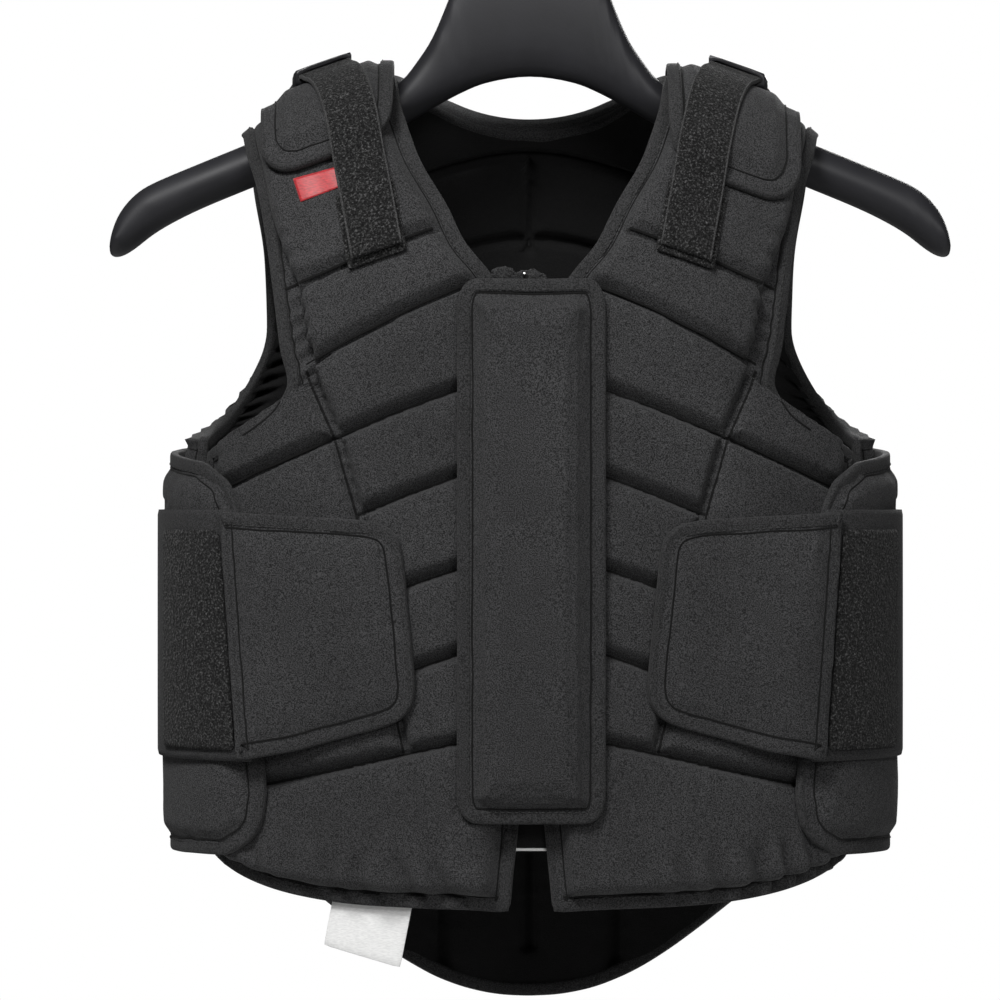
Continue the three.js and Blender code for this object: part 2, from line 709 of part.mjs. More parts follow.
// Tabs: padded, stitched over the front end of each belt, and lying on the chest at their tip
const TAB_RIBS = [
  { topAt: 0.165, top: -0.194, bottomAt: 0.144, bottom: -0.698 },
  { topAt: 0.171, top: -0.116, bottomAt: 0.149, bottom: -0.775 },
  { topAt: 0.19, top: -0.07, bottomAt: 0.169, bottom: -0.83 },
  { topAt: 0.229, top: -0.047, bottomAt: 0.207, bottom: -0.86 },
  { topAt: 0.416, top: -0.027, bottomAt: 0.37, bottom: -0.953 },
  { topAt: 0.533, top: -0.012, bottomAt: 0.484, bottom: -0.992 },
];
const TAB_RISE_FROM = 0.3; // turn where a tab leaves the chest
const TAB_RISE_TO = 0.45; // turn where it lies on the belt
const tabRise = (turn) => mix(
  0,
  PATCH_BASE - WING_BASE,
  clamp01((turn - TAB_RISE_FROM) / (TAB_RISE_TO - TAB_RISE_FROM)),
);
const tabRows = ribRows(inHeights(TAB_RIBS), RIB_STEP, TAB_THICKNESS, tabRise);

for (const { name, sign } of SIDES) {
  const belt = { base: BELT_BASE, thickness: BELT_THICKNESS, cells: 1 };
  const patch = { base: PATCH_BASE, thickness: PATCH_THICKNESS, cells: 1 };
  add(`waist_belt_${name}`, evenWall(beltRows(sign), belt), WEBBING);
  add(`belt_loop_patch_${name}`, evenWall(patchRows(sign), patch), LOOP_PILE);
  add(`belt_tab_${name}`, paddedWall(tabRows(sign), { base: WING_BASE, rim: TRIM_THICKNESS, cells: 3 }), CLOTH);
}

// Shoulder pads: a flap over each shoulder seam. inner and outer are shares of half its width.
const PAD_OUTLINE = [
  { down: 1, inner: -0.5, outer: 0.4 },
  { down: 0.96, inner: -0.78, outer: 0.62 },
  { down: 0.86, inner: -0.95, outer: 0.8 },
  { down: 0.7, inner: -1, outer: 0.92 },
  { down: 0, inner: -0.98, outer: 1 },
  { down: -0.9, inner: -0.93, outer: 0.95 },
  { down: -1, inner: -0.75, outer: 0.78 },
];
const LABELLED = 'right';
const labelRoom = (name) => (name === LABELLED ? LABEL_THICKNESS + LAYER_GAP : 0);
const PAD_STEP = 12;

const padTable = (name) => withRims(
  PAD_OUTLINE.map((row) => ({
    arc: row.down > 0 ? arcOf(row.down * PAD_DROPS[name]) : -arcOf(-row.down * PAD_BACK),
    inner: PAD_CENTRE + row.inner * PAD_WIDTH / 2,
    outer: PAD_CENTRE + row.outer * PAD_WIDTH / 2,
  })),
  ['arc', 'inner', 'outer'],
  () => PAD_STEP,
  (a, b) => Math.abs(b.arc - a.arc),
);

// Straps: centre line from the ridge down to the chest, across the pad and on to the loop patch
const STRAP_ARC = arcOf(STRAP_DROP);
const STRAP_BACK = -0.8; // back end, as a share of the pad
const strapCentre = (arc) => mix(STRAP_TOP_AT, STRAP_END_AT, arc / STRAP_ARC);

function strapOffset(arc, name) {
  const past = clamp01((arc - arcOf(PAD_DROPS[name]) + RIM_WIDTH) / (RIM_WIDTH * 2));
  const under = mix(PAD_THICKNESS, PATCH_THICKNESS, past);
  const reach = Math.abs(arc - SLIDER_AT) - SLIDER_LENGTH;
  const bump = (SLIDER_BAR + LAYER_GAP) * clamp01(1 - reach / SLIDER_LENGTH);
  return foamAt(arc) + labelRoom(name) + under + LAYER_GAP * 2 + bump;
}

function strapRows(name, sign) {
  const count = Math.round(STRAP_ARC * 1.7 / SLIDER_LENGTH);
  const rows = [];
  for (let i = 0; i <= count; i += 1) {
    const arc = mix(STRAP_ARC, STRAP_BACK * arcOf(PAD_BACK), i / count);
    rows.push({
      line: (share, offset) => overShoulder(
        sign * (strapCentre(arc) + STRAP_WIDTH * (share - 0.5)),
        arc,
        offset + strapOffset(arc, name),
      ),
    });
  }
  return rows;
}

// A flat loop round the strap
function sliderGeometry(name, sign) {
  const lowAt = (arc) => foamAt(arc) + labelRoom(name) + PAD_THICKNESS + LAYER_GAP * 2;
  const open = STRAP_THICKNESS + LAYER_GAP * 2;
  const points = [];
  const steps = 2;
  for (let i = 0; i <= steps; i += 1) {
    const arc = SLIDER_AT + SLIDER_LENGTH * (i / steps - 0.5);
    for (const [half, from, to] of [
      [STRAP_WIDTH / 2 + LAYER_GAP + SLIDER_BAR, 0, open + SLIDER_BAR * 2],
      [STRAP_WIDTH / 2 + LAYER_GAP, SLIDER_BAR, open + SLIDER_BAR],
    ]) {
      for (const [across, lift] of [[-1, from], [1, from], [1, to], [-1, to]]) {
        const x = sign * (strapCentre(arc) + across * half);
        points.push(overShoulder(x, arc, lowAt(arc) + lift));
      }
    }
  }
  const faces = [];
  const quad = (a, b, c, d) => faces.push(a, b, c, a, c, d);
  for (let k = 0; k < 4; k += 1) {
    const next = (k + 1) % 4;
    quad(k, next, 4 + next, 4 + k);
    const end = steps * 8;
    quad(end + k, end + 4 + k, end + 4 + next, end + next);
    for (let i = 0; i < steps; i += 1) {
      const at = i * 8;
      quad(at + k, at + 8 + k, at + 8 + next, at + next);
      quad(at + 4 + k, at + 4 + next, at + 12 + next, at + 12 + k);
    }
  }
  return closedGeometry(points, faces);
}

// Thin flat pieces on the chest, between two drops
function chestSheet(sign, table, base, thickness, cells) {
  const rows = fillRows(table, ['drop', 'inner', 'outer'], () => PAD_STEP, (a, b) => b.drop - a.drop);
  return evenWall(rows.map((row) => ({
    line: (share, offset) => skin(
      sign * turnAt(mix(row.inner, row.outer, share), offset),
      row.drop,
      offset,
    ),
  })), { base, thickness, cells });
}

for (const { name, sign } of SIDES) {
  const rows = padTable(name).map((row) => ({
    edge: row.edge,
    thick: () => PAD_THICKNESS,
    line: (share, offset) => overShoulder(
      sign * mix(row.inner, row.outer, share),
      row.arc,
      offset + foamAt(row.arc) + labelRoom(name),
    ),
  }));
  add(`shoulder_pad_${name}`, paddedWall(rows, { base: LAYER_GAP, rim: TRIM_THICKNESS, cells: 3 }), CLOTH);
  const strap = { base: 0, thickness: STRAP_THICKNESS, cells: 1 };
  add(`shoulder_strap_${name}`, evenWall(strapRows(name, sign), strap), LOOP_PILE);
  add(`strap_slider_${name}`, sliderGeometry(name, sign), HARD_PLASTIC);
  const half = STRAP_WIDTH / 2 + PATCH_MARGIN;
  const top = Math.max(...Object.values(PAD_DROPS)) + RIM_WIDTH;
  const centres = [top, STRAP_DROP + PATCH_MARGIN].map((drop) => ({
    drop,
    inner: strapCentre(arcOf(drop)) - half,
    outer: strapCentre(arcOf(drop)) + half,
  }));
  const patch = chestSheet(sign, centres, FOAM_THICKNESS + LAYER_GAP, PATCH_THICKNESS, 3);
  add(`shoulder_loop_patch_${name}`, patch, LOOP_PILE);
}

// Plain label on the wearer's right chest, half under the pad
const labelEnds = { inner: NECK_HALF + LABEL_THICKNESS, outer: NECK_HALF + CHEST_LABEL_WIDTH };
add('chest_label', chestSheet(-1, [
  { drop: CHEST_LABEL_DROP, ...labelEnds },
  { drop: CHEST_LABEL_DROP + CHEST_LABEL_HEIGHT, ...labelEnds },
], FOAM_THICKNESS + LAYER_GAP, LABEL_THICKNESS, 4), RED_CLOTH);

// Placket: padded cover over the zip
const PLACKET_OUTLINE = [
  { down: 0, half: 0.83 },
  { down: 0.015, half: 0.95 },
  { down: 0.04, half: 1 },
  { down: 0.96, half: 1 },
  { down: 0.985, half: 0.95 },
  { down: 1, half: 0.83 },
];
const placketTable = withRims(
  PLACKET_OUTLINE.map((row) => ({
    height: PLACKET_TOP - row.down * PLACKET_LENGTH,
    half: row.half * PLACKET_WIDTH / 2,
  })),
  ['height', 'half'],
  () => PLACKET_LENGTH / 4,
  (a, b) => a.height - b.height,
);
const placketRows = placketTable.map((row) => ({
  edge: row.edge,
  thick: () => PLACKET_THICKNESS,
  line: (share, offset) => girdle(turnAt(mix(-row.half, row.half, share), offset), row.height, offset),
}));
add('front_placket', paddedWall(placketRows, {
  base: FOAM_THICKNESS + LAYER_GAP,
  rim: TRIM_THICKNESS,
  cells: 3,
}), CLOTH);

// A flat strip across the centre line between two heights
function centreStrip({ half, top, bottom, base, thickness, steps = 6, middle = 0 }) {
  const rows = Array.from({ length: steps + 1 }, (_, i) => ({
    line: (share, offset) => girdle(
      turnAt(middle + mix(-half, half, share), offset),
      mix(top, bottom, i / steps),
      offset,
    ),
  }));
  return evenWall(rows, { base, thickness, cells: 2 });
}

// Zip between the fronts, its pull at the top, and the strip behind it
const HEM_LEVEL = SHOULDER_LEVEL - FRONT_LENGTH;
const NECK_LEVEL = SHOULDER_LEVEL - NECK_DROP;
const ZIP_BOTTOM = mix(NECK_LEVEL, HEM_LEVEL, ZIP_END);
const GUARD_BOTTOM = mix(NECK_LEVEL, HEM_LEVEL, GUARD_END);
add('front_zip', centreStrip({
  half: ZIP_GAP / 2 - LAYER_GAP * 1.7,
  top: NECK_LEVEL + PULL_LENGTH / 2,
  bottom: ZIP_BOTTOM,
  base: LAYER_GAP,
  thickness: ZIP_THICKNESS,
}), HARD_PLASTIC);
add('zip_pull', centreStrip({
  half: PULL_WIDTH / 2,
  middle: -PULL_WIDTH,
  top: NECK_LEVEL + PULL_LENGTH * 0.6,
  bottom: NECK_LEVEL - PULL_LENGTH * 0.4,
  base: RIM_THICKNESS + LAYER_GAP,
  thickness: SLIDER_BAR,
  steps: 1,
}), STEEL);
add('zip_guard', centreStrip({
  half: GUARD_WIDTH / 2,
  top: NECK_LEVEL - PULL_LENGTH,
  bottom: GUARD_BOTTOM,
  base: -GUARD_THICKNESS - LAYER_GAP,
  thickness: GUARD_THICKNESS,
}), CLOTH);
add('guard_edge', centreStrip({
  half: GUARD_WIDTH / 4,
  top: GUARD_BOTTOM - LAYER_GAP,
  bottom: GUARD_BOTTOM - LAYER_GAP - EDGE_HEIGHT,
  base: -GUARD_THICKNESS - LAYER_GAP,
  thickness: GUARD_THICKNESS,
  steps: 1,
}), WHITE_SATIN);

// Blank care label, sewn behind the hem of the wearer's right front and hanging below it
const careRows = Array.from({ length: 4 }, (_, i) => ({
  line: (share, offset) => {
    const down = i / 3 * CARE_LENGTH;
    const x = CARE_LEFT + share * CARE_WIDTH * Math.cos(CARE_LEAN) - down * Math.sin(CARE_LEAN) * 0.7;
    const height = HEM_LEVEL + CARE_RISE - down * Math.cos(CARE_LEAN) - share * CARE_WIDTH * Math.sin(CARE_LEAN);
    return girdle(turnAt(x, offset), height, offset);
  },
}));
add('care_label', evenWall(careRows, {
  base: -LABEL_THICKNESS - LAYER_GAP,
  thickness: LABEL_THICKNESS,
  cells: 3,
}), WHITE_SATIN);

// Hanger: one moulded body whose arms follow the ridge of the shoulders. It is a row of sections
// across the vest. In the tables, lift is the neck's height over the arms as a share of the
// highest, and top and bottom are how far the tip falls, as shares of an arm's height.
const NECK_SECTIONS = [
  { at: 0, lift: 1 },
  { at: 0.3, lift: 1 },
  { at: 0.4, lift: 0.93 },
  { at: 0.5, lift: 0.755 },
  { at: 0.56, lift: 0.56 },
  { at: 0.67, lift: 0.253 },
  { at: 0.78, lift: 0.12 },
  { at: 0.9, lift: -0.03 },
];
const TIP_SECTIONS = [
  { at: 0, top: 0, bottom: 0.1 },
  { at: 0.35, top: 0.05, bottom: 0.26 },
  { at: 0.66, top: 0.22, bottom: 0.34 },
  { at: 0.88, top: 0.48, bottom: 0.3 },
  { at: 1, top: 0.86, bottom: 0.16 },
];
const ARM_STEP = 20;
const armTop = (x) => ridge(x) - HANGER_SEAT;

function hangerSections() {
  const arch = (x) => ARCH_RISE * Math.max(0, 1 - (x / NECK_HALF) ** 2) ** 1.5;
  const sections = NECK_SECTIONS.map(({ at, lift }) => {
    const x = at * NECK_HALF;
    return { x, top: mix(armTop(x), NECK_TOP, lift), bottom: armTop(x) - HANGER_ARM + arch(x) };
  });
  const start = NECK_HALF;
  const end = HANGER_SPAN / 2 - TIP_LENGTH;
  const count = Math.round((end - start) / ARM_STEP);
  for (let i = 1; i < count; i += 1) {
    const x = mix(start, end, i / count);
    sections.push({ x, top: armTop(x), bottom: armTop(x) - HANGER_ARM });
  }
  for (const { at, top, bottom } of TIP_SECTIONS) {
    const x = end + at * TIP_LENGTH;
    sections.push({
      x,
      top: armTop(x) - top * HANGER_ARM,
      bottom: armTop(x) - HANGER_ARM * (1 + bottom),
    });
  }
  const mirrored = sections.slice(1).reverse().map((section) => ({ ...section, x: -section.x }));
  return [...mirrored, ...sections];
}

// A rectangle with cut corners, across the hanger
const CORNER_CUTS = 1;
function hangerRing({ x, top, bottom }) {
  const edge = Math.min(HANGER_EDGE, (top - bottom) * 0.45);
  const half = HANGER_DEPTH / 2 * Math.min(1, (top - bottom) / HANGER_ARM * 1.6);
  const side = Math.min(edge, half * 0.9);
  const ring = [];
  for (const [y, z, start] of [[1, 1, 0], [-1, 1, 1], [-1, -1, 2], [1, -1, 3]]) {
    const centreZ = z > 0 ? top - edge : bottom + edge;
    for (let k = 0; k <= CORNER_CUTS; k += 1) {
      const angle = (start + k / CORNER_CUTS) * QUARTER;
      ring.push(new THREE.Vector3(
        x,
        y * (half - side) + side * Math.cos(angle),
        centreZ + edge * Math.sin(angle),
      ));
    }
  }
  return ring;
}

// A closed body through rings of points
function loftRings(rings) {
  const count = rings[0].length;
  const faces = [];
  for (let i = 0; i + 1 < rings.length; i += 1) {
    for (let k = 0; k < count; k += 1) {
      const a = i * count + k;
      const b = i * count + (k + 1) % count;
      faces.push(a, b, b + count, a, b + count, a + count);
    }
  }
  const last = (rings.length - 1) * count;
  for (let k = 1; k + 1 < count; k += 1) {
    faces.push(0, k + 1, k);
    faces.push(last, last + k, last + k + 1);
  }
  return closedGeometry(rings.flat(), faces);
}

add('hanger_body', loftRings(hangerSections().map(hangerRing)), HARD_PLASTIC);

// Hook: a plain bent wire that stands on the neck of the hanger
function hookPath() {
  const radius = HOOK_RADIUS + HOOK_WIRE / 2;
  const points = [];
  for (let degrees = 200; degrees >= -50; degrees -= 25) {
    const angle = degrees * Math.PI / 180;
    points.push(new THREE.Vector3(radius * Math.cos(angle), 0, radius * (Math.sin(angle) - 1) + HOOK_WIRE / 2));
  }
  points.push(new THREE.Vector3(radius * 0.12, 0, -radius * 2.1));
  points.push(new THREE.Vector3(0, 0, -radius * 2.4));
  points.push(new THREE.Vector3(0, 0, NECK_TOP + LAYER_GAP));
  return new THREE.CatmullRomCurve3(points);
}

const WIRE_SIDES = 6;
const wireSection = new THREE.Shape(Array.from({ length: WIRE_SIDES }, (_, i) => {
  const angle = i / WIRE_SIDES * Math.PI * 2;
  return new THREE.Vector2(HOOK_WIRE / 2 * Math.cos(angle), HOOK_WIRE / 2 * Math.sin(angle));
}));
add('hanger_hook', weld(new THREE.ExtrudeGeometry(wireSection, {
  extrudePath: hookPath(),
  steps: 22,
  bevelEnabled: false,
})), STEEL);

export default group;
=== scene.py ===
# %% [markdown]
# # A riding body protector on a clothes hanger
# The vest is foam under matte black cloth. It hangs on a wide moulded hanger, and all its edges
# are bound with narrow tape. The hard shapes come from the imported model, which this file loads as
# a fixed frame. The cloth shapes are made here, in metres, in the same frame.

# %% Load the frame
import math
import bpy
from contextlib import contextmanager
from types import SimpleNamespace
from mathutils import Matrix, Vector, kdtree, noise
from mathutils.bvhtree import BVHTree


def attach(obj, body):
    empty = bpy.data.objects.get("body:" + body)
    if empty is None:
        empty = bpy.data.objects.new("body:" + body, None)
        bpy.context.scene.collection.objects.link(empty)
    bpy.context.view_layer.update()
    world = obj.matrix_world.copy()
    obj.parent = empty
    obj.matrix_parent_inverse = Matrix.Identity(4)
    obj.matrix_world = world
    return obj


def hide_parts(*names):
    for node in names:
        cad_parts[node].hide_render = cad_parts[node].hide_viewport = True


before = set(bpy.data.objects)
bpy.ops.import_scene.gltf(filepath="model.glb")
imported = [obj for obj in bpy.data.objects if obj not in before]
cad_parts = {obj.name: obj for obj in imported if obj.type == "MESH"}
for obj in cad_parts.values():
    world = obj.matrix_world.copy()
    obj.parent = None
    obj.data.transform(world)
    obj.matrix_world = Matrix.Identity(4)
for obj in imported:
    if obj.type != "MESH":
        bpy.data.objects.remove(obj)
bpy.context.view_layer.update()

# %% [markdown]
# ## The camera
# The photograph is taken from the front at the height of the chest with a long lens, so the
# camera is level, two metres off, and has a lens of 135 mm. It comes first, so that every other
# piece can be judged from the right place.

# %% Camera
FOCAL_LENGTH = 135.07  # millimetres, fitted to the photograph
CAMERA_PLACE = (-0.016, -2.0, -0.366)
lens = bpy.data.cameras.new("front_view")
lens.lens = FOCAL_LENGTH
lens.sensor_width = 36.0
camera = bpy.data.objects.new("front_view", lens)
camera.location = CAMERA_PLACE
camera.rotation_euler = (math.radians(90), 0, 0)
bpy.context.scene.collection.objects.link(camera)
bpy.context.scene.camera = camera
print("camera", tuple(round(v, 3) for v in camera.location))

# %% [markdown]
# ## The floor and the light
# The vest hangs free above a plain pale floor, in front of plain white. The light is soft and
# comes mostly from above the camera, so that the underside of each foam block goes dark and the
# top edge of the next one is bright, as in the photograph. The room and the floor are bright only
# to the camera: they light the vest a little, which leaves the seams deep.

# %% Helpers for selecting
def only(piece):
    """Selects one piece and nothing else."""
    if bpy.context.object and bpy.context.object.mode != "OBJECT":
        bpy.ops.object.mode_set(mode="OBJECT")
    bpy.ops.object.select_all(action="DESELECT")
    piece.select_set(True)
    bpy.context.view_layer.objects.active = piece


def rest_place(piece):
    """Moves a piece's place into its mesh."""
    only(piece)
    bpy.ops.object.transform_apply(location=True, rotation=True, scale=True)


@contextmanager
def editing(piece, selected="SELECT"):
    """Edit mode on one piece, with all of it selected or, with DESELECT, nothing."""
    only(piece)
    bpy.ops.object.mode_set(mode="EDIT")
    bpy.ops.mesh.select_all(action=selected)
    yield
    bpy.ops.object.mode_set(mode="OBJECT")


def apply_modifier(piece, kind, **values):
    only(piece)
    modifier = piece.modifiers.new(kind.title(), kind)
    for name, value in values.items():
        setattr(modifier, name, value)
    bpy.ops.object.modifier_apply(modifier=modifier.name)


# %% Floor
FLOOR_LEVEL, FLOOR_WIDTH = -1.9, 9.0
bpy.ops.object.select_all(action="DESELECT")
bpy.ops.mesh.primitive_plane_add(size=1, location=(0, 0, FLOOR_LEVEL))
ground = bpy.context.object
ground.name = "floor"
ground.scale = (FLOOR_WIDTH, FLOOR_WIDTH, 1)
rest_place(ground)
print("floor at", FLOOR_LEVEL)

# %% Light
VEST_MIDDLE = Vector((0, 0, -0.4))
ROOM_LIGHT, ROOM_SEEN = 0.1, 1.0  # strength on the vest, and as the camera sees it


def panel_light(name, place, size, power):
    """A soft panel that faces the vest, with its size in metres and its power in watts."""
    lamp = bpy.data.lights.new(name, "AREA")
    lamp.shape = "RECTANGLE"
    lamp.size, lamp.size_y = size
    lamp.energy = power
    holder = bpy.data.objects.new(name, lamp)
    holder.location = place
    holder.rotation_euler = (VEST_MIDDLE - Vector(place)).to_track_quat("-Z", "Y").to_euler()
    bpy.context.scene.collection.objects.link(holder)


panel_light("key_light", (-0.6, -1.45, 1.2), (0.8, 0.6), 58)
panel_light("fill_light", (0.7, -2.3, 0.6), (0.8, 0.6), 20)
panel_light("back_light", (0.3, 2.4, 0.6), (1.6, 1.2), 62)
world = bpy.data.worlds.new("soft_room")
bpy.context.scene.world = world
world.use_nodes = True
room = world.node_tree.nodes["Background"]
room.inputs["Color"].default_value = (1, 1, 1, 1)
seen_by = world.node_tree.nodes.new("ShaderNodeLightPath")
brightness = world.node_tree.nodes.new("ShaderNodeMapRange")
brightness.inputs["To Min"].default_value = ROOM_LIGHT
brightness.inputs["To Max"].default_value = ROOM_SEEN
world.node_tree.links.new(seen_by.outputs["Is Camera Ray"], brightness.inputs["Value"])
world.node_tree.links.new(brightness.outputs["Result"], room.inputs["Strength"])
bpy.context.scene.view_settings.view_transform = "Standard"

# %% [markdown]
# ## Materials
# Everything is nearly black, so the finishes differ in their grain and not in their colour: a
# matte cover with a fine speckle, tape of the same cloth, a rough loop pile with pale hairs,
# smooth webbing and a satin plastic. The lining and the strips in seams and creases are darker
# still: that is painted shade. Each is a Principled shader with noise that follows the object's
# own coordinates, so no texture can slide on the cloth.

# %% Shader helpers
SOCKETS = {"metallic": "Metallic", "sheen": "Sheen Weight", "sheen_rough": "Sheen Roughness",
           "specular": "Specular IOR Level"}


def grey(value):
    return (value,) * 3


def new_finish(name, colour, roughness, **values):
    """A Principled material with its node tree and shader. values are the shader's own."""
    material = bpy.data.materials.new(name)
    material.use_nodes = True
    tree = material.node_tree
    shader = tree.nodes["Principled BSDF"]
    shader.inputs["Base Color"].default_value = (*colour, 1)
    shader.inputs["Roughness"].default_value = roughness
    for socket, value in values.items():
        shader.inputs[SOCKETS[socket]].default_value = value
    return SimpleNamespace(material=material, nodes=tree.nodes, links=tree.links, shader=shader)


def grain(finish, scale, detail=3.0, rough=0.6, kind="ShaderNodeTexNoise", stretch=None):
    """A noise on the object's coordinates. Its scale is in grains for each metre."""
    source = finish.nodes.new("ShaderNodeTexCoord").outputs["Object"]
    if stretch:
        turn = finish.nodes.new("ShaderNodeMapping")
        turn.inputs["Scale"].default_value = stretch
        finish.links.new(source, turn.inputs["Vector"])
        source = turn.outputs["Vector"]
    texture = finish.nodes.new(kind)
    texture.inputs["Scale"].default_value = scale
    if kind == "ShaderNodeTexNoise":
        texture.inputs["Detail"].default_value = detail
        texture.inputs["Roughness"].default_value = rough
    finish.links.new(source, texture.inputs["Vector"])
    return texture


def ramp(finish, texture, stops):
    """A colour ramp after a texture's value. stops are (place, colour)."""
    band = finish.nodes.new("ShaderNodeValToRGB")
    while len(band.color_ramp.elements) < len(stops):
        band.color_ramp.elements.new(0.5)
    for element, (place, colour) in zip(band.color_ramp.elements, stops):
        element.position = place
        element.color = (*colour, 1)
    finish.links.new(texture.outputs["Fac"], band.inputs["Fac"])
    return band.outputs["Color"]


def tint(finish, texture, *stops):
    """Colours a finish by a texture's value."""
    finish.links.new(ramp(finish, texture, stops), finish.shader.inputs["Base Color"])


def add_bump(finish, *layers):
    """Stacks bumps. layers are (source, distance in metres, strength)."""
    last = None
    for source, distance, strength in layers:
        bump = finish.nodes.new("ShaderNodeBump")
        bump.inputs["Distance"].default_value = distance
        bump.inputs["Strength"].default_value = strength
        finish.links.new(source, bump.inputs["Height"])
        if last:
            finish.links.new(last, bump.inputs["Normal"])
        last = bump.outputs["Normal"]
    finish.links.new(last, finish.shader.inputs["Normal"])


# %% Cloth, tape and webbing
def cover_cloth(name, dark, pale):
    """Matte cloth: a fine speckle, broad soft clouds and slight creases."""
    finish = new_finish(name, dark, 0.86, sheen=0.04, sheen_rough=0.5, specular=0.22)
    speckle = grain(finish, 1650, 2, 0.7)
    cloud = grain(finish, 14, 3, 0.55)
    creases = grain(finish, 120, 2, 0.5)
    blend = finish.nodes.new("ShaderNodeMix")
    blend.data_type = "RGBA"
    blend.blend_type = "MULTIPLY"
    blend.inputs["Factor"].default_value = 1.0
    finish.links.new(ramp(finish, speckle, [(0.4, dark), (0.61, pale)]), blend.inputs["A"])
    finish.links.new(ramp(finish, cloud, [(0.3, grey(0.82)), (0.7, grey(1.1))]),
                     blend.inputs["B"])
    finish.links.new(blend.outputs["Result"], finish.shader.inputs["Base Color"])
    add_bump(finish, (speckle.outputs["Fac"], 0.0005, 1.0), (creases.outputs["Fac"], 0.0006, 0.35))
    return finish.material


COVER = cover_cloth("matte_cover", (0.0045, 0.0045, 0.0047), (0.049, 0.049, 0.0505))
# The lining is black cloth darkened far below the cover: painted shade for the dim inside of the
# vest.
SHADED_LINING = cover_cloth("lining_painted_shade", (0.0008, 0.0008, 0.0009), (0.004, 0.004, 0.0042))
TAPE = cover_cloth("binding_tape", (0.0045, 0.0045, 0.0047), (0.04, 0.04, 0.041))
# Near-black cloth of the strips that paint the shade down in seams and creases.
SHADE_STRIP_CLOTH = cover_cloth("seam_shadow", grey(0.0008), grey(0.0025))
WEBBING = cover_cloth("flat_webbing", (0.005, 0.005, 0.0053), (0.036, 0.036, 0.037))
SELVEDGE = cover_cloth("selvedge", grey(0.012), grey(0.06))

# %% Thread and loop pile
def sewing_thread():
    finish = new_finish("thread", (0.01, 0.01, 0.011), 0.6)
    twist = grain(finish, 2600, 1, 0.5)
    tint(finish, twist, (0.3, grey(0.003)), (0.7, grey(0.016)))
    add_bump(finish, (twist.outputs["Fac"], 0.0001, 0.8))
    return finish.material


def loop_pile():
    finish = new_finish("loop_pile", (0.012, 0.012, 0.013), 0.95, sheen=0.05, specular=0.2)
    hairs = grain(finish, 900, 4, 0.75)
    tufts = grain(finish, 620, kind="ShaderNodeTexVoronoi")
    tint(finish, hairs, (0.43, grey(0.0015)), (0.54, grey(0.011)), (0.66, grey(0.08)))
    add_bump(finish, (tufts.outputs["Distance"], 0.0007, 0.9), (hairs.outputs["Fac"], 0.0005, 1.0))
    return finish.material


THREAD, PILE = sewing_thread(), loop_pile()

# %% Plastic, steel and the two labels
def plastic(name, dark, pale, roughness):
    finish = new_finish(name, dark, roughness, specular=0.25)
    mottle = grain(finish, 35, 3, 0.6)
    skin_grain = grain(finish, 900, 2, 0.5)
    tint(finish, mottle, (0.3, dark), (0.7, pale))
    rough = finish.nodes.new("ShaderNodeMapRange")
    rough.inputs["To Min"].default_value = roughness - 0.06
    rough.inputs["To Max"].default_value = roughness + 0.1
    finish.links.new(mottle.outputs["Fac"], rough.inputs["Value"])
    finish.links.new(rough.outputs["Result"], finish.shader.inputs["Roughness"])
    add_bump(finish, (skin_grain.outputs["Fac"], 0.00006, 0.5))
    return finish.material


def bright_steel():
    finish = new_finish("bright_wire", (0.62, 0.63, 0.65), 0.24, metallic=1.0)
    draw = grain(finish, 500, 3, 0.6, stretch=(1, 1, 0.08))
    tint(finish, draw, (0.3, grey(0.5)), (0.7, grey(0.7)))
    add_bump(finish, (draw.outputs["Fac"], 0.00004, 0.5))
    return finish.material


def ribbon(name, colour, pale, lean):
    finish = new_finish(name, colour, 0.5, sheen=0.2)
    thread = grain(finish, 1100, 1, 0.5, stretch=lean)
    tint(finish, thread, (0.3, colour), (0.7, pale))
    add_bump(finish, (thread.outputs["Fac"], 0.00012, 0.6))
    return finish.material


MOULDED = plastic("satin_plastic", (0.012, 0.012, 0.0138), (0.0155, 0.0155, 0.018), 0.5)
BUCKLE = plastic("slider_plastic", (0.007, 0.007, 0.008), (0.012, 0.012, 0.0135), 0.3)
TEETH = plastic("zip_teeth", (0.009, 0.009, 0.01), (0.016, 0.016, 0.0175), 0.35)
STEEL = bright_steel()
RED = ribbon("red_ribbon", (0.2, 0.003, 0.006), (0.42, 0.01, 0.016), (0.3, 1, 2.4))
SATIN = ribbon("white_satin", (0.66, 0.66, 0.655), (0.8, 0.8, 0.79), (0.4, 1, 2.2))

# %% Paper of the floor
def floor_paper():
    """Pale paper that looks evenly lit and throws little light up at the vest."""
    finish = new_finish("floor_paper", grey(0.9), 0.9)
    tint(finish, grain(finish, 40, 3, 0.6), (0.3, grey(0.9)), (0.7, grey(0.92)))
    glow = finish.nodes.new("ShaderNodeEmission")
    glow.inputs["Color"].default_value = (0.9, 0.9, 0.9, 1)
    seen_by = finish.nodes.new("ShaderNodeLightPath")
    either = finish.nodes.new("ShaderNodeMixShader")
    finish.links.new(seen_by.outputs["Is Camera Ray"], either.inputs[0])
    finish.links.new(finish.shader.outputs["BSDF"], either.inputs[1])
    finish.links.new(glow.outputs["Emission"], either.inputs[2])
    finish.links.new(either.outputs["Shader"], finish.nodes["Material Output"].inputs["Surface"])
    return finish.material


ground.data.materials.append(floor_paper())
print("materials", len(bpy.data.materials))

# %% [markdown]
# ## The body under the vest
# Every layer lies on one rounded body, so its shape is written once. The shoulders slope from the
# neck, roll over to the chest and the back, and the chest is a squarish ring. A place on it is
# given by a turn round the body, a drop below the shoulder and an offset outwards, in
# millimetres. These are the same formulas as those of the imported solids.

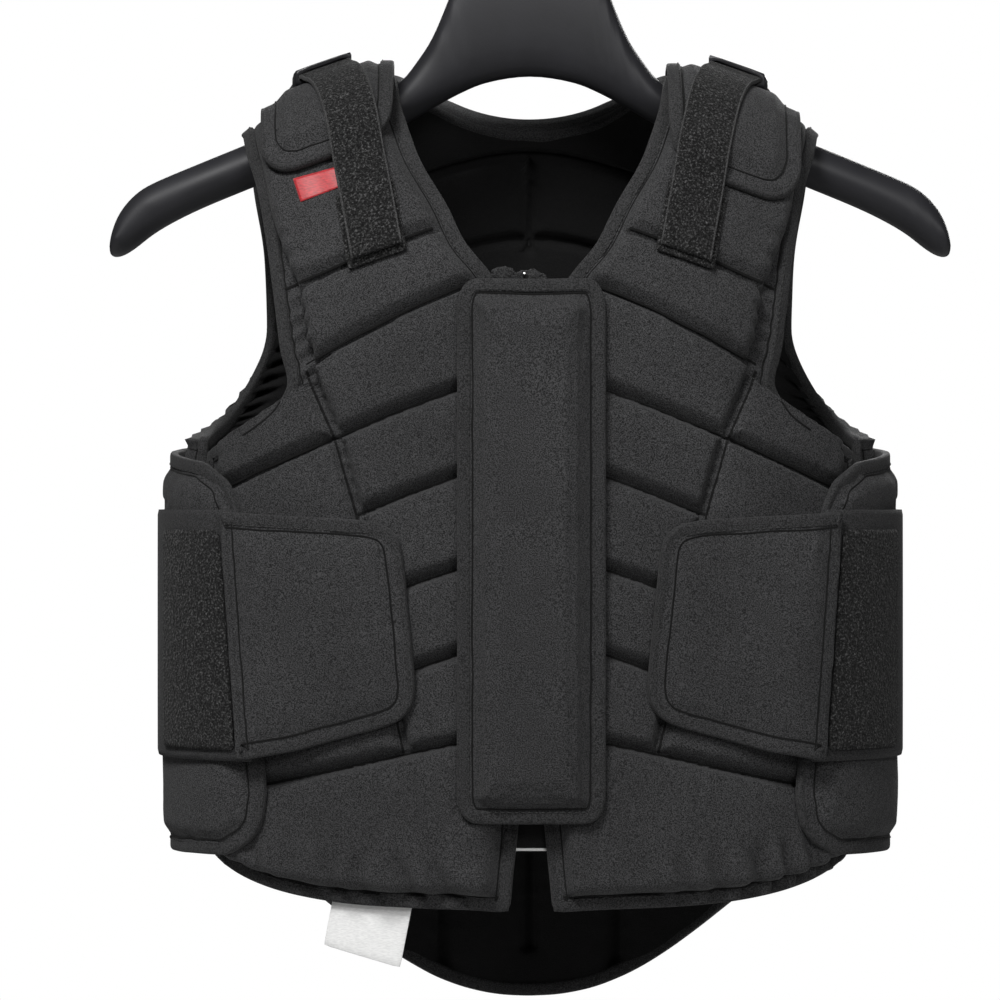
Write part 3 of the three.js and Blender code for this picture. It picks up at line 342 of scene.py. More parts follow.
# %% Shape of the body
CHEST_HALF, FRONT_DEPTH, BACK_DEPTH, ROLL_DROP = 173.0, 76.0, 78.0, 150.0
SHOULDER_LEVEL, SHOULDER_SLOPE, SHOULDER_BEND = -126.0, 0.42, 40.0
SQUARENESS, ROUNDNESS = 2.6, 1.8
FOAM, RIM, RIM_WIDTH, TAPER, SHOULDER_GAP = 14.0, 4.0, 7.0, 70.0, 0.6
FRONT_LENGTH, BACK_LENGTH, SIDE_LENGTH = 450.0, 514.0, 365.0
NECK_DROP, NECK_HALF, BACK_NECK_DROP, ARMHOLE_DROP = 131.0, 78.0, 42.0, 150.0
ROLL_ARC = math.hypot(FRONT_DEPTH, ROLL_DROP) * 1.1
QUARTER = math.pi / 2
MM = 0.001


def mix(a, b, share):
    return a + (b - a) * share


def clamp01(value):
    return min(max(value, 0.0), 1.0)


def smooth(value):
    value = clamp01(value)
    return value * value * (3 - 2 * value)


def ridge(x):
    return SHOULDER_LEVEL + SHOULDER_SLOPE * (SHOULDER_BEND - math.hypot(x, SHOULDER_BEND))


def roll_share(drop):
    share = clamp01(drop / ROLL_DROP)
    return (1 - (1 - share) ** ROUNDNESS) ** (1 / ROUNDNESS)


def arc_of(drop):
    if drop >= ROLL_DROP:
        return ROLL_ARC + drop - ROLL_DROP
    return ROLL_ARC * math.acos((1 - max(0.0, drop) / ROLL_DROP) ** (ROUNDNESS / 2)) / QUARTER


def drop_of(arc):
    if arc >= ROLL_ARC:
        return arc - ROLL_ARC + ROLL_DROP
    return ROLL_DROP * (1 - math.cos(max(0.0, arc) / ROLL_ARC * QUARTER) ** (2 / ROUNDNESS))


def foam_at(arc):
    return mix(RIM, FOAM, clamp01(abs(arc) / TAPER))


def skin(turn, drop, offset, seam=SHOULDER_GAP / 2):
    """A point of the body in metres. turn is 0 in front, 1 at the wearer's left, 2 behind."""
    sine, cosine = math.sin(turn * QUARTER), math.cos(turn * QUARTER)
    across = math.copysign(abs(sine) ** (2 / SQUARENESS), sine)
    along = abs(cosine) ** (2 / SQUARENESS)
    facing = -1 if cosine >= 0 else 1
    depth = (FRONT_DEPTH if facing < 0 else BACK_DEPTH) + offset
    roll = roll_share(drop)
    crest = ridge(across * CHEST_HALF) + offset * math.sqrt(max(0.0, 1 - roll * roll))
    return Vector((
        across * (CHEST_HALF + offset),
        facing * (seam + depth * roll * (1 - (1 - along) * roll)),
        crest - drop,
    )) * MM


def turn_of(share):
    return math.asin(min(1.0, share) ** (SQUARENESS / 2)) / QUARTER


def turn_at(x, offset, back=False):
    turn = turn_of(abs(x) / (CHEST_HALF + offset))
    return math.copysign(2 - turn if back else turn, x)


def girdle(turn, height, offset):
    """A point at a height in millimetres, where the body is upright."""
    sine = math.sin(turn * QUARTER)
    across = math.copysign(abs(sine) ** (2 / SQUARENESS), sine)
    return skin(turn, ridge(across * CHEST_HALF) - height, offset)


def over_shoulder(x, arc, offset):
    """A point over the shoulder: a positive arc is on the front."""
    seam = SHOULDER_GAP / 2 * min(1.0, abs(arc) / RIM_WIDTH)
    return skin(turn_at(x, offset, arc < 0), drop_of(abs(arc)), offset, seam)


print("chest front", [round(v, 3) for v in skin(0, 200, FOAM)])

# %% Smooth lines through tables
def smooth_table(rows, step):
    """Returns a function from 0..1 to a row, smooth and never beyond its neighbours' values."""
    places = [0.0]
    for a, b in zip(rows, rows[1:]):
        places.append(places[-1] + max(1e-6, step(a, b)))
    places = [p / places[-1] for p in places]
    names = list(rows[0])
    slopes = {}
    for name in names:
        rises = [(b[name] - a[name]) / (q - p)
                 for a, b, p, q in zip(rows, rows[1:], places, places[1:])]
        inner = [0.0 if r * s <= 0 else 2 * r * s / (r + s) for r, s in zip(rises, rises[1:])]
        slopes[name] = [rises[0], *inner, rises[-1]]

    def at(share):
        i = 0
        while i < len(places) - 2 and places[i + 1] < share:
            i += 1
        width = places[i + 1] - places[i]
        t = clamp01((share - places[i]) / width)
        row = {}
        for name in names:
            a, b = rows[i][name], rows[i + 1][name]
            m, n = slopes[name][i] * width, slopes[name][i + 1] * width
            row[name] = (a * (1 + 2 * t) * (1 - t) ** 2 + m * t * (1 - t) ** 2
                         + b * t * t * (3 - 2 * t) + n * t * t * (t - 1))
        return row

    return at


def ways_along(points):
    """The way along a line of points, from its start to each of them."""
    ways = [0.0]
    for a, b in zip(points, points[1:]):
        ways.append(ways[-1] + (b - a).length)
    return ways


def even_shares(line, count):
    """Shares that cut a line of points into equal lengths."""
    fine = count * 4
    lengths = ways_along([line(i / fine) for i in range(fine + 1)])
    shares, i = [], 0
    for k in range(count + 1):
        goal = lengths[-1] * k / count
        while i < fine - 1 and lengths[i + 1] < goal:
            i += 1
        span = lengths[i + 1] - lengths[i] or 1.0
        shares.append((i + clamp01((goal - lengths[i]) / span)) / fine)
    return shares


# %% [markdown]
# ## Padded shells
# A foam panel is a flat grid that is wrapped onto the body. The grid is a primitive; its
# vertices are set to the outer face, the whole sheet is extruded once, and the new sheet becomes
# the lining, whose cloth is darkened as painted shade. What makes it look sewn is its thickness:
# thin at the bound rim, full in the middle, and pressed in along every seam, with small puckers
# that run across the seam.

# %% Helpers for grids
def new_grid(name, columns, rows):
    bpy.ops.object.select_all(action="DESELECT")
    bpy.ops.mesh.primitive_grid_add(x_subdivisions=columns, y_subdivisions=rows, size=1)
    piece = bpy.context.object
    piece.name = name
    return piece


def grid_place(vertex, columns, rows):
    """The row and the column of a vertex of a fresh grid."""
    return round((vertex.co.y + 0.5) * rows), round((vertex.co.x + 0.5) * columns)


def close_up(piece, merge=0.0, cap=False):
    """Merges doubled points, caps open ends and turns all faces outwards."""
    with editing(piece):
        if merge:
            bpy.ops.mesh.remove_doubles(threshold=merge)
        if cap:
            bpy.ops.mesh.fill_holes(sides=0)
            bpy.ops.mesh.select_all(action="SELECT")
        bpy.ops.mesh.normals_make_consistent(inside=False)
    bpy.ops.object.shade_smooth()


# %% Grid wrapped into a shell
def wrapped_shell(name, columns, rows, outer, inner):
    """A padded wall. outer(i, j) and inner(i, j) give its two faces. Also the inner vertices."""
    piece = new_grid(name, columns, rows)
    with editing(piece):
        bpy.ops.mesh.extrude_region_move()
    seen, inside = set(), set()
    for vertex in piece.data.vertices:
        place = grid_place(vertex, columns, rows)
        if place in seen:
            inside.add(vertex.index)
            vertex.co = inner(*place)
        else:
            seen.add(place)
            vertex.co = outer(*place)
    close_up(piece)
    return piece, inside


def line_and_shade_inside(piece, inside):
    """Gives the inner face of a shell the lining cloth, darkened far below the cover as painted
    shade for the inside of the vest.
    """
    piece.data.materials.append(SHADED_LINING)
    for face in piece.data.polygons:
        if all(v in inside for v in face.vertices):
            face.material_index = 1


def finer(piece, levels=1):
    """Rounds a piece with one subdivision surface and applies it."""
    apply_modifier(piece, "SUBSURF", levels=levels, render_levels=levels)
    bpy.ops.object.shade_smooth()


SEAM_DEPTH, SEAM_ABOVE, SEAM_BELOW, SEAM_CURVE = 6.5, 7.2, 2.6, 1.3
ROUND_OFF, ROUND_WIDTH, PUCKER_AT = 1.1, 7.0, 6.0


def seam_tree(lines, spacing=0.0012):
    """Points along seams, for measuring how far a place is from the nearest one."""
    points = []
    for line in lines:
        length = ways_along([line(k / 40) for k in range(41)])[-1]
        count = max(2, int(length / spacing))
        start = points[-1][1] + 0.05 if points else 0.0
        points += [(line(k / count), start + length * k / count) for k in range(count + 1)]
    tree = kdtree.KDTree(len(points))
    for index, (point, _) in enumerate(points):
        tree.insert(point, index)
    tree.balance()
    return tree, [way for _, way in points]


def seam_press(point, seams):
    """How far the cover is pulled in at a point near a seam, in millimetres. A block slopes
    widely down to the seam below it, and the next block starts with a sharp edge."""
    tree, ways = seams
    nearest, index, distance = tree.find(point)
    gap, way = distance / MM, ways[index] / MM
    above = clamp01(0.5 + 0.7 * (point.z - nearest.z) / max(distance, 0.4 * MM))
    groove = SEAM_DEPTH * max(0.0, 1 - gap / mix(SEAM_BELOW, SEAM_ABOVE, above)) ** SEAM_CURVE
    round_off = ROUND_OFF * math.exp(-((gap / ROUND_WIDTH) ** 2))
    wave = math.sin(way * 0.5 + 2.5 * noise.noise(Vector((way * 0.07, 3.1, gap * 0.05))))
    size = max(0.0, noise.noise(Vector((way * 0.045, 9.7, 1.3))) + 0.1)
    pucker = 0.5 * size * wave * math.exp(-((gap - PUCKER_AT) / PUCKER_AT) ** 2)
    return groove + round_off - pucker


def unevenness(point):
    """Soft unevenness of a cover over foam, in millimetres."""
    return noise.noise(point * 16.0) * 1.1 + noise.noise(point * 47.0 + Vector((7, 1, 4))) * 0.45


# %% Place a piece in the frame
def settle(piece, material, slot, *nodes):
    """Gives a piece its finish, its body and the solids that it stands for."""
    piece.data.materials.clear()
    piece.data.materials.append(material)
    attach(piece, "root")
    if nodes:
        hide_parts(*nodes)
    triangles = sum(len(p.vertices) - 2 for p in piece.data.polygons)
    print(piece.name, triangles, "triangles")


SIDES = (("left", 1), ("right", -1))

# %% [markdown]
# ## Front panels
# Each front is a stack of foam blocks in one cover. The seams between the blocks run down and
# outwards like chevrons, always at one drop below the shoulder, and two run up and down. The
# tables give where they start and end across the front, as shares of its half width, and how far
# down, as shares of its length.

# %% Tables of the fronts
FRONT_HALF = CHEST_HALF + FOAM
# Columns: share of the neck's drop, share of the neck's half width.
NECKLINE = ((0, 1.0), (0.11, 0.955), (0.37, 0.82), (0.64, 0.59), (0.79, 0.475), (0.92, 0.31),
            (0.985, 0.23))
# Columns: share of the armhole's drop, share of the front's half width.
FRONT_ARM = ((0, 0.87), (0.08, 0.848), (0.25, 0.806), (0.47, 0.773), (0.67, 0.749),
             (0.84, 0.73), (0.955, 0.706))
# Columns: share down from the neck, share of the half width at the side, share down the side.
UNDER = ((0.005, 0.745, 0.012), (0.05, 0.86, 0.035), (0.11, 0.96, 0.05), (0.3, 0.96, 0.22),
         (0.72, 0.96, 0.72), (1, 0.96, 1))
ZIP_EDGE, HEM_EDGE, HEM_SPLIT = 5 / FRONT_HALF, 12.5 / FRONT_HALF, 0.72
# Columns: share across where the seam starts and ends, share down where it starts and ends.
CHEVRONS = ((0.27, 0.7, 0.216, 0.226), (0.16, 0.62, 0.284, 0.312), (0.16, 0.54, 0.396, 0.405),
            (0.16, 0.48, 0.494, 0.502), (0.16, 0.43, 0.6, 0.604), (0.16, 0.4, 0.696, 0.702),
            (0.16, 0.78, 0.8, 0.768), (0.62, 0.54, 0.318, 0.405), (0.54, 0.48, 0.405, 0.502),
            (0.48, 0.35, 0.502, 0.79), (0.54, 0.86, 0.405, 0.415))

front_rows = [
    {"neck_arc": arc_of(drop * NECK_DROP), "neck": out * NECK_HALF / FRONT_HALF,
     "arm_arc": arc_of(arm[0] * ARMHOLE_DROP), "arm": arm[1], "belly": 0.0}
    for (drop, out), arm in zip(NECKLINE, FRONT_ARM)
]
front_rows += [
    {"neck_arc": arc_of(mix(NECK_DROP, FRONT_LENGTH, down)),
     "neck": mix(ZIP_EDGE, HEM_EDGE, clamp01((down - HEM_SPLIT) / (1 - HEM_SPLIT))),
     "arm_arc": arc_of(mix(ARMHOLE_DROP, SIDE_LENGTH, arm_down)), "arm": arm,
     "belly": float(down)}
    for down, arm, arm_down in UNDER
]
front_row = smooth_table(
    front_rows, lambda a, b: (b["neck_arc"] - a["neck_arc"] + b["arm_arc"] - a["arm_arc"]) / 2)


def front_place(row, share):
    """Turn, drop and way down the roll of a place on a front."""
    arc = mix(row["neck_arc"], row["arm_arc"], share)
    drop = drop_of(arc + row["belly"] * 4 * share * (1 - share))
    return mix(turn_of(row["neck"]), turn_of(row["arm"]), share), drop, arc


def front_point(sign, down, share, offset):
    turn, drop, _ = front_place(front_row(down), share)
    return skin(sign * turn, drop, offset)


print("front rows", len(front_rows))

# %% Swell of a padded wall
def swell_at(edge, rim_width=RIM_WIDTH, roll=7.0):
    """From 0 on the flat rim to 1 where the pad is full, along a quarter circle."""
    share = clamp01((edge - rim_width) / roll)
    return math.sqrt(1 - (1 - share) ** 2)


def edge_distances(points):
    """How far each point of a grid is from its sides or its last row, in millimetres."""
    across = [ways_along(row) for row in points]
    down = [ways_along(column) for column in zip(*points)]
    return [[min(way, ways[-1] - way, down[j][-1] - down[j][i]) / MM
             for j, way in enumerate(ways)] for i, ways in enumerate(across)]


# %% Gathers along an armhole
def side_distances(points, both=False):
    """How far each point of a grid is from its last column, or from either side, in
    millimetres, and the way along that column."""
    across = [ways_along(row) for row in points]
    gaps = [[(min(way, ways[-1] - way) if both else ways[-1] - way) / MM for way in ways]
            for ways in across]
    return gaps, [way / MM for way in ways_along([row[-1] for row in points])]


def gathers(way, gap, point, height, pitch=0.62, reach=8.0):
    """Small folds that run across an edge and die out away from it, in millimetres."""
    wave = math.sin(way * pitch + 3.0 * noise.noise(point * 34))
    size = 0.3 + 1.1 * max(0.0, noise.noise(point * 12) + 0.4)
    return height * size * wave * math.exp(-((gap - 12) / reach) ** 2)


# %% Make the two fronts
FRONT_COLUMNS, FRONT_DOWN = 104, 440
ARM_MARGIN, ARM_TOP, ARM_FOOT = 11.0, 50.0, 230.0  # flat band along the armhole, in millimetres
HEM_WAVES, ARM_WAVES, TURN_LENGTH = 2.6, 1.7, 250.0
TAPE_ROOM, THINNEST = 0.4, RIM - 1.5


def front_seam_lines(sign):
    return [(lambda t, a=turn_of(near), b=turn_of(far), c=start, d=end:
             skin(sign * mix(a, b, t), mix(c, d, t) * FRONT_LENGTH, FOAM))
            for near, far, start, end in CHEVRONS]


def front_panel(name, sign):
    rows = [front_row(i / FRONT_DOWN) for i in range(FRONT_DOWN + 1)]
    places = [[front_place(row, j / FRONT_COLUMNS) for j in range(FRONT_COLUMNS + 1)]
              for row in rows]
    middle = [[skin(sign * turn, drop, 0) for turn, drop, _ in line] for line in places]
    edges = edge_distances(middle)
    arm_gaps, arm_ways = side_distances(middle)
    seams = seam_tree(front_seam_lines(sign))

    def outer(i, j):
        turn, drop, arc = places[i][j]
        full = skin(sign * turn, drop, FOAM)
        edge = edges[i][j]
        band = smooth((drop - ARM_TOP) / 70) * smooth((ARM_FOOT - drop) / 40)
        margin = RIM_WIDTH + ARM_MARGIN * band
        full_share = min(swell_at(edge), swell_at(arm_gaps[i][j], margin, 9.0))
        thick = mix(RIM, foam_at(arc), full_share)
        press = seam_press(full, seams) * smooth((edge - 3) / 8) * clamp01(drop / 60) * full_share
        hem, under_arm = smooth((drop - 300) / 100), smooth((drop - ARM_TOP) / 60)
        folds = gathers(sign * turn * TURN_LENGTH, edge, full, HEM_WAVES * hem, 0.33, 13.0)
        folds += gathers(arm_ways[i], arm_gaps[i][j] - 4, full, ARM_WAVES * under_arm)
        thick += unevenness(full) * swell_at(edge) * 0.7 - press + folds - TAPE_ROOM
        return skin(sign * turn, drop, max(THINNEST, thick))

    return wrapped_shell(name, FRONT_COLUMNS, FRONT_DOWN, outer, lambda i, j: middle[i][j])


fronts = {}
for side, sign in SIDES:
    front, inside = front_panel(f"front_cover_{side}", sign)
    settle(front, COVER, "cloth", f"front_panel_{side}")
    line_and_shade_inside(front, inside)
    fronts[side] = front

# %% [markdown]
# ## Back panel
# The back is one wide panel from armhole to armhole, with a dipped neckline and a rounded tail
# that hangs lower than the fronts. Its inside shows through the neck, so the lining gets its own
# seams too.

# %% Tables of the back
# Columns: share down the middle, share of the armhole's drop, share of the half width at the
# armhole, and how much of the neck's dip the row has.
BACK_ROWS = ((0, 0, 0.87, 1), (0.04, 0.2, 0.845, 0.9), (0.1, 0.45, 0.817, 0.6),
             (0.16, 0.7, 0.812, 0.3), (0.22, 0.85, 0.866, 0), (0.26, 0.94, 0.935, 0),
             (0.3, 1, 0.9999, 0))
BACK_SEAMS = (0.19, 0.32, 0.45, 0.58, 0.7)
BACK_REACH = 0.55
back_rows = [
    {"centre": arc_of(mix(BACK_NECK_DROP, BACK_LENGTH, centre)),
     "arm_arc": arc_of(arm_drop * ARMHOLE_DROP), "arm": arm, "notch": float(notch)}
    for centre, arm_drop, arm, notch in BACK_ROWS
]
back_rows.append({"centre": arc_of(BACK_LENGTH), "arm_arc": arc_of(SIDE_LENGTH),
                  "arm": 0.9999, "notch": 0.0})
back_row = smooth_table(
    back_rows, lambda a, b: max(b["centre"] - a["centre"], b["arm_arc"] - a["arm_arc"]))


def back_place(row, share):
    """Turn and drop of a place on the back, from the left armhole to the right one."""
    reach = 1 - turn_of(row["arm"])
    turn = mix(1 + reach, 3 - reach, share)
    across = abs(math.sin(turn * QUARTER)) ** (2 / SQUARENESS)
    dip = clamp01(1 - (across * FRONT_HALF / NECK_HALF) ** 2) ** 0.62
    tail = math.cos(clamp01(across / row["arm"]) * QUARTER) ** 1.4
    return turn, drop_of(mix(row["arm_arc"], row["centre"], mix(tail, dip, row["notch"])))


print("back rows", len(back_rows))

# %% Make the back
BACK_COLUMNS, BACK_DOWN = 160, 290
LINING_SEAMS, LINING_REACH = (0.105, 0.19), 0.4
TAIL_CREASES, TAIL_FROM, TAIL_TO = (-47, 0.001, 47), 0.85, 0.95


def back_seam_lines(face):
    turn = turn_at(0.001, face, True)
    level = [(lambda t, d=drop: skin(2 + mix(-BACK_REACH, BACK_REACH, t), d * BACK_LENGTH, face))
             for drop in BACK_SEAMS]
    top, foot = BACK_SEAMS[0], BACK_SEAMS[-1]
    return level + [lambda t: skin(turn, mix(top, foot, t) * BACK_LENGTH, face)]


def lining_seam_lines():
    level = [(lambda t, d=drop: skin(2 + mix(-LINING_REACH, LINING_REACH, t), d * BACK_LENGTH, 0))
             for drop in LINING_SEAMS]
    upright = [lambda t: skin(2, mix(LINING_SEAMS[0], 0.2, t) * BACK_LENGTH, 0)]
    creases = [(lambda t, turn=turn_at(x, 0, True):
                skin(turn, mix(TAIL_FROM, TAIL_TO, t) * BACK_LENGTH, 0)) for x in TAIL_CREASES]
    return level + upright + creases


def back_panel():
    places = []
    for i in range(BACK_DOWN + 1):
        row = back_row(i / BACK_DOWN)
        cuts = even_shares(lambda t: skin(*back_place(row, t), 0), BACK_COLUMNS)
        places.append([back_place(row, t) for t in cuts])
    middle = [[skin(turn, drop, 0) for turn, drop in line] for line in places]
    edges = edge_distances(middle)
    arm_gaps, arm_ways = side_distances(middle, both=True)
    seams, lining_seams = seam_tree(back_seam_lines(FOAM)), seam_tree(lining_seam_lines())

    def outer(i, j):
        turn, drop = places[i][j]
        full = skin(turn, drop, FOAM)
        edge = edges[i][j]
        thick = mix(RIM, foam_at(arc_of(drop)), swell_at(edge))
        press = seam_press(full, seams) * smooth((edge - 3) / 8) * clamp01(drop / 60)
        folds = gathers(turn * TURN_LENGTH, edge, full, smooth((drop - 260) / 100), 0.5)
        folds += gathers(arm_ways[i], arm_gaps[i][j], full, 1.3 * smooth((drop - ARM_TOP) / 60))
        thick += unevenness(full) * swell_at(edge) - press + folds - TAPE_ROOM
        return skin(turn, drop, max(THINNEST, thick))

    def inner(i, j):
        turn, drop = places[i][j]
        base, gap = middle[i][j], arm_gaps[i][j]
        press = seam_press(base, lining_seams) * smooth((edges[i][j] - 3) / 8)
        folds = gathers(arm_ways[i], gap, base, 2.4 * smooth((drop - 40) / 60))
        ease = 1.5 * smooth((gap - 5) / 4) * math.exp(-((gap - 12) / 9) ** 2)
        return skin(turn, drop, max(0.0, press + folds + ease))

    return wrapped_shell("back_cover", BACK_COLUMNS, BACK_DOWN, outer, inner)


back, inside = back_panel()
settle(back, COVER, "cloth", "back_panel")
line_and_shade_inside(back, inside)

# %% [markdown]
# ## Bound edges
# Every edge of the vest is folded into narrow tape and stitched through. The tape is a band swept
# along the edge: a grid whose columns go round a flat oval and whose rows go along the edge. The
# stitches are one small bead, modelled once and repeated. Where the tape pulls the cover in, and
# along each seam, a thin near-black strip lies on the cover as painted shade for the crease.

# %% Stations along an edge
STATION_SPACING, SOFTENING = 2.8 * MM, 2


def edge_stations(places, offset, closed=True):
    """Even stations (point, normal, inward) along an edge, whose places are functions of an
    offset in millimetres."""
    points = [place(offset) for place in places]
    outs = [(place(offset + 1) - place(offset)).normalized() for place in places]
    if closed:
        points.append(points[0])
        outs.append(outs[0])
    lengths = ways_along(points)
    count = max(4, round(lengths[-1] / STATION_SPACING))
    line, normals, i = [], [], 0
    for k in range(count + (0 if closed else 1)):
        goal = lengths[-1] * k / count
        while i < len(lengths) - 2 and lengths[i + 1] < goal:
            i += 1
        share = (goal - lengths[i]) / max(1e-9, lengths[i + 1] - lengths[i])
        line.append(points[i].lerp(points[i + 1], share))
        normals.append(outs[i].lerp(outs[i + 1], share).normalized())
    total = len(line)
    for _ in range(SOFTENING):
        first, last = (0, total) if closed else (1, total - 1)
        line = [line[k] if not first <= k < last else
                (line[k - 1] + line[k] * 2 + line[(k + 1) % total]) / 4 for k in range(total)]
    centre = sum(line, Vector()) / total
    ways = []
    for k in range(total):
        ahead = line[(k + 1) % total] if closed else line[min(k + 1, total - 1)]
        behind = line[k - 1] if closed or k else line[0]
        ways.append((ahead - behind).normalized())
    sides = [normals[k].cross(ways[k]).normalized() for k in range(total)]
    vote = sum(1 if sides[k].dot(centre - line[k]) > 0 else -1 for k in range(total))
    turn = 1 if vote > 0 else -1
    stations = [(line[k], normals[k], sides[k] * turn) for k in range(total)]
    return stations + [stations[0]] if closed else stations


# %% Sweep a tape
RING_POINTS, FLATNESS = 14, 0.45


def flat_oval(wide, thick, middle):
    """The section of a folded tape, as (inward, outward) places in millimetres."""
    ring = []
    for k in range(RING_POINTS):
        angle = k / RING_POINTS * 2 * math.pi
        cosine, sine = math.cos(angle), math.sin(angle)
        ring.append((middle + wide * math.copysign(abs(cosine) ** FLATNESS, cosine),
                     thick * math.copysign(abs(sine) ** FLATNESS, sine)))
    return ring


def sweep(name, stations, ring, closed=True, unrest=0.2):
    """A band of one section along stations. unrest is how uneven it is."""
    rows, columns = len(stations) - 1, len(ring)
    piece = new_grid(name, columns, rows)
    for vertex in piece.data.vertices:
        k, j = grid_place(vertex, columns, rows)
        point, out, inward = stations[k]
        inward_by, out_by = ring[j % columns]
        wobble = noise.noise(point * 60.0) * unrest
        vertex.co = point + (inward * (inward_by + wobble) + out * out_by * (1 + wobble)) * MM
    close_up(piece, merge=1e-6, cap=not closed)
    return piece


# %% Stitches
bpy.ops.object.select_all(action="DESELECT")
bpy.ops.mesh.primitive_uv_sphere_add(segments=6, ring_count=4, radius=1)
bead = bpy.context.object
bead_points = [v.co.copy() for v in bead.data.vertices]
bead_faces = [list(p.vertices) for p in bead.data.polygons]
bpy.data.objects.remove(bead)


STITCH_PITCH, STITCH_SIZE = 3.4 * MM, (1.15, 0.34, 0.3)


def stitch_line(name, stations, inward, lift):
    """Stitches along stations, inward and lift in millimetres from the line."""
    line = [point + (out * lift + side * inward) * MM for point, out, side in stations]
    long, wide, high = STITCH_SIZE
    points, faces, way, goal = [], [], 0.0, MM
    for k in range(len(line) - 1):
        step = (line[k + 1] - line[k]).length
        while goal < way + step:
            middle = line[k].lerp(line[k + 1], (goal - way) / step)
            along = (line[k + 1] - line[k]).normalized()
            out = stations[k][1]
            side = out.cross(along).normalized()
            start = len(points)
            points += [middle + (along * c.x * long + side * c.y * wide + out * c.z * high) * MM
                       for c in bead_points]
            faces += [[start + v for v in face] for face in bead_faces]
            goal += STITCH_PITCH
        way += step
    mesh = bpy.data.meshes.new(name)
    mesh.from_pydata(points, [], faces)
    piece = bpy.data.objects.new(name, mesh)
    bpy.context.scene.collection.objects.link(piece)
    only(piece)
    bpy.ops.object.shade_smooth()
    return piece


def surface_of(piece):
    return BVHTree.FromObject(piece, bpy.context.evaluated_depsgraph_get())


def laid_on(surface, start, out, side):
    """The station where a line meets a surface, in a list that is empty if it misses."""
    hit = surface.ray_cast(start, -out)[0]
    return [(hit + out * 0.1 * MM, out, side)] if hit else []


def crease_shade_line(name, cover, stations, closed=True):
    """A near-black strip on the cover where the tape has pulled it in: painted shade for the
    crease.
    """
    surface = surface_of(cover)
    line = []
    for point, out, side in stations:
        line += laid_on(surface, point + side * RIM_WIDTH * MM + out * 12 * MM, out, side)
    whole = closed and len(line) == len(stations)
    settle(sweep(f"{name}_crease", line, CREASE_SHADE, whole, 0.5), SHADE_STRIP_CLOTH, "cloth")


TAPE_HALF, TAPE_THICK, TAPE_OVERHANG, STITCH_AT = 3.7, 0.75, 0.9, 5.2
# Sections of the near-black strips that paint the shade in creases and seams.
CREASE_SHADE, SEAM_SHADE_STRIP, SEAM_STEPS = flat_oval(0.5, 0.28, 0), flat_oval(0.75, 0.3, 0), 90


def bind_edge(name, places, thick, closed=True, bare=0):
    """Tape and stitches along one edge, without tape on the last bare places.
    thick is the rim's full thickness in millimetres."""
    stations = edge_stations(places, thick / 2, closed)
    bound = stations
    if bare:
        end = places[-bare](thick / 2)
        last = min(range(len(stations)), key=lambda k: (stations[k][0] - end).length)
        bound = stations[:last + 1]
        closed = False
    section = flat_oval(TAPE_HALF, thick / 2 + TAPE_THICK, TAPE_HALF - TAPE_OVERHANG)
    settle(sweep(f"{name}_tape", bound, section, closed), TAPE, "cloth")
    thread = stitch_line(f"{name}_thread", stations, STITCH_AT, thick / 2 + TAPE_THICK + 0.03)
    settle(thread, THREAD, "cloth")
    return stations


# %% Painted shade lines in the seams
def seam_stations(surface, line):
    """Stations that lie on a cover's surface along a seam."""
    found = []
    for k in range(SEAM_STEPS + 1):
        point = line(k / SEAM_STEPS)
        behind, ahead = max(0.0, (k - 0.5) / SEAM_STEPS), min(1.0, (k + 0.5) / SEAM_STEPS)
        out = Vector((point.x * 0.25, -1 if point.y < 0 else 1, 0)).normalized()
        side = out.cross(line(ahead) - line(behind)).normalized()
        found += laid_on(surface, point + out * 20 * MM, out, side)
    return found


# Lays a near-black strip along each seam of a cover, painted shade down in its groove.
def draw_seam_shade(cover, name, lines):
    surface = surface_of(cover)
    for number, line in enumerate(lines, 1):
        stations = seam_stations(surface, line)
        if len(stations) > 3:
            settle(sweep(f"{name}_{number}", stations, SEAM_SHADE_STRIP, False, 0.5), SHADE_STRIP_CLOTH, "cloth")


for side, sign in SIDES:
    draw_seam_shade(fronts[side], f"front_seam_{side}", front_seam_lines(sign))
draw_seam_shade(back, "back_seam", back_seam_lines(FOAM))

# %% Bind the fronts and the back
def front_edge(sign):
    marks = [(k / 90, 0) for k in range(91)]
    marks += [(1, k / 30) for k in range(1, 31)]
    marks += [(1 - k / 90, 1) for k in range(1, 91)]
    return [(lambda o, v=down, u=share: front_point(sign, v, u, o)) for down, share in marks]


def back_edge():
    neck = even_shares(lambda t: skin(*back_place(back_row(0), t), 0), 70)
    marks = [(k / 70, 0) for k in range(71)]
    marks += [(1, k / 90) for k in range(1, 91)]
    marks += [(1 - k / 70, 1) for k in range(1, 71)]
    marks += [(0, 1 - share) for share in neck[1:-1]]
    return [(lambda o, place=back_place(back_row(down), share): skin(*place, o))
            for down, share in marks]


for side, sign in SIDES:
    rim = bind_edge(f"front_{side}", front_edge(sign), RIM - TAPE_ROOM, closed=False)
    crease_shade_line(f"front_{side}", fronts[side], rim[8:-8], False)
rim = bind_edge("back", back_edge(), RIM - TAPE_ROOM)
crease_shade_line("back", back, rim)

# %% [markdown]
# ## Soft pieces that copy their solid
# The wings, tabs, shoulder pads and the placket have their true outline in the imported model. Each
# is copied, remeshed into small even squares and blown up a little with a cloth simulation: air
# pressure inside, no gravity, and the bound rim held still. That gives the slight tightness of
# foam in a sewn cover. A limit keeps any point from moving too far.

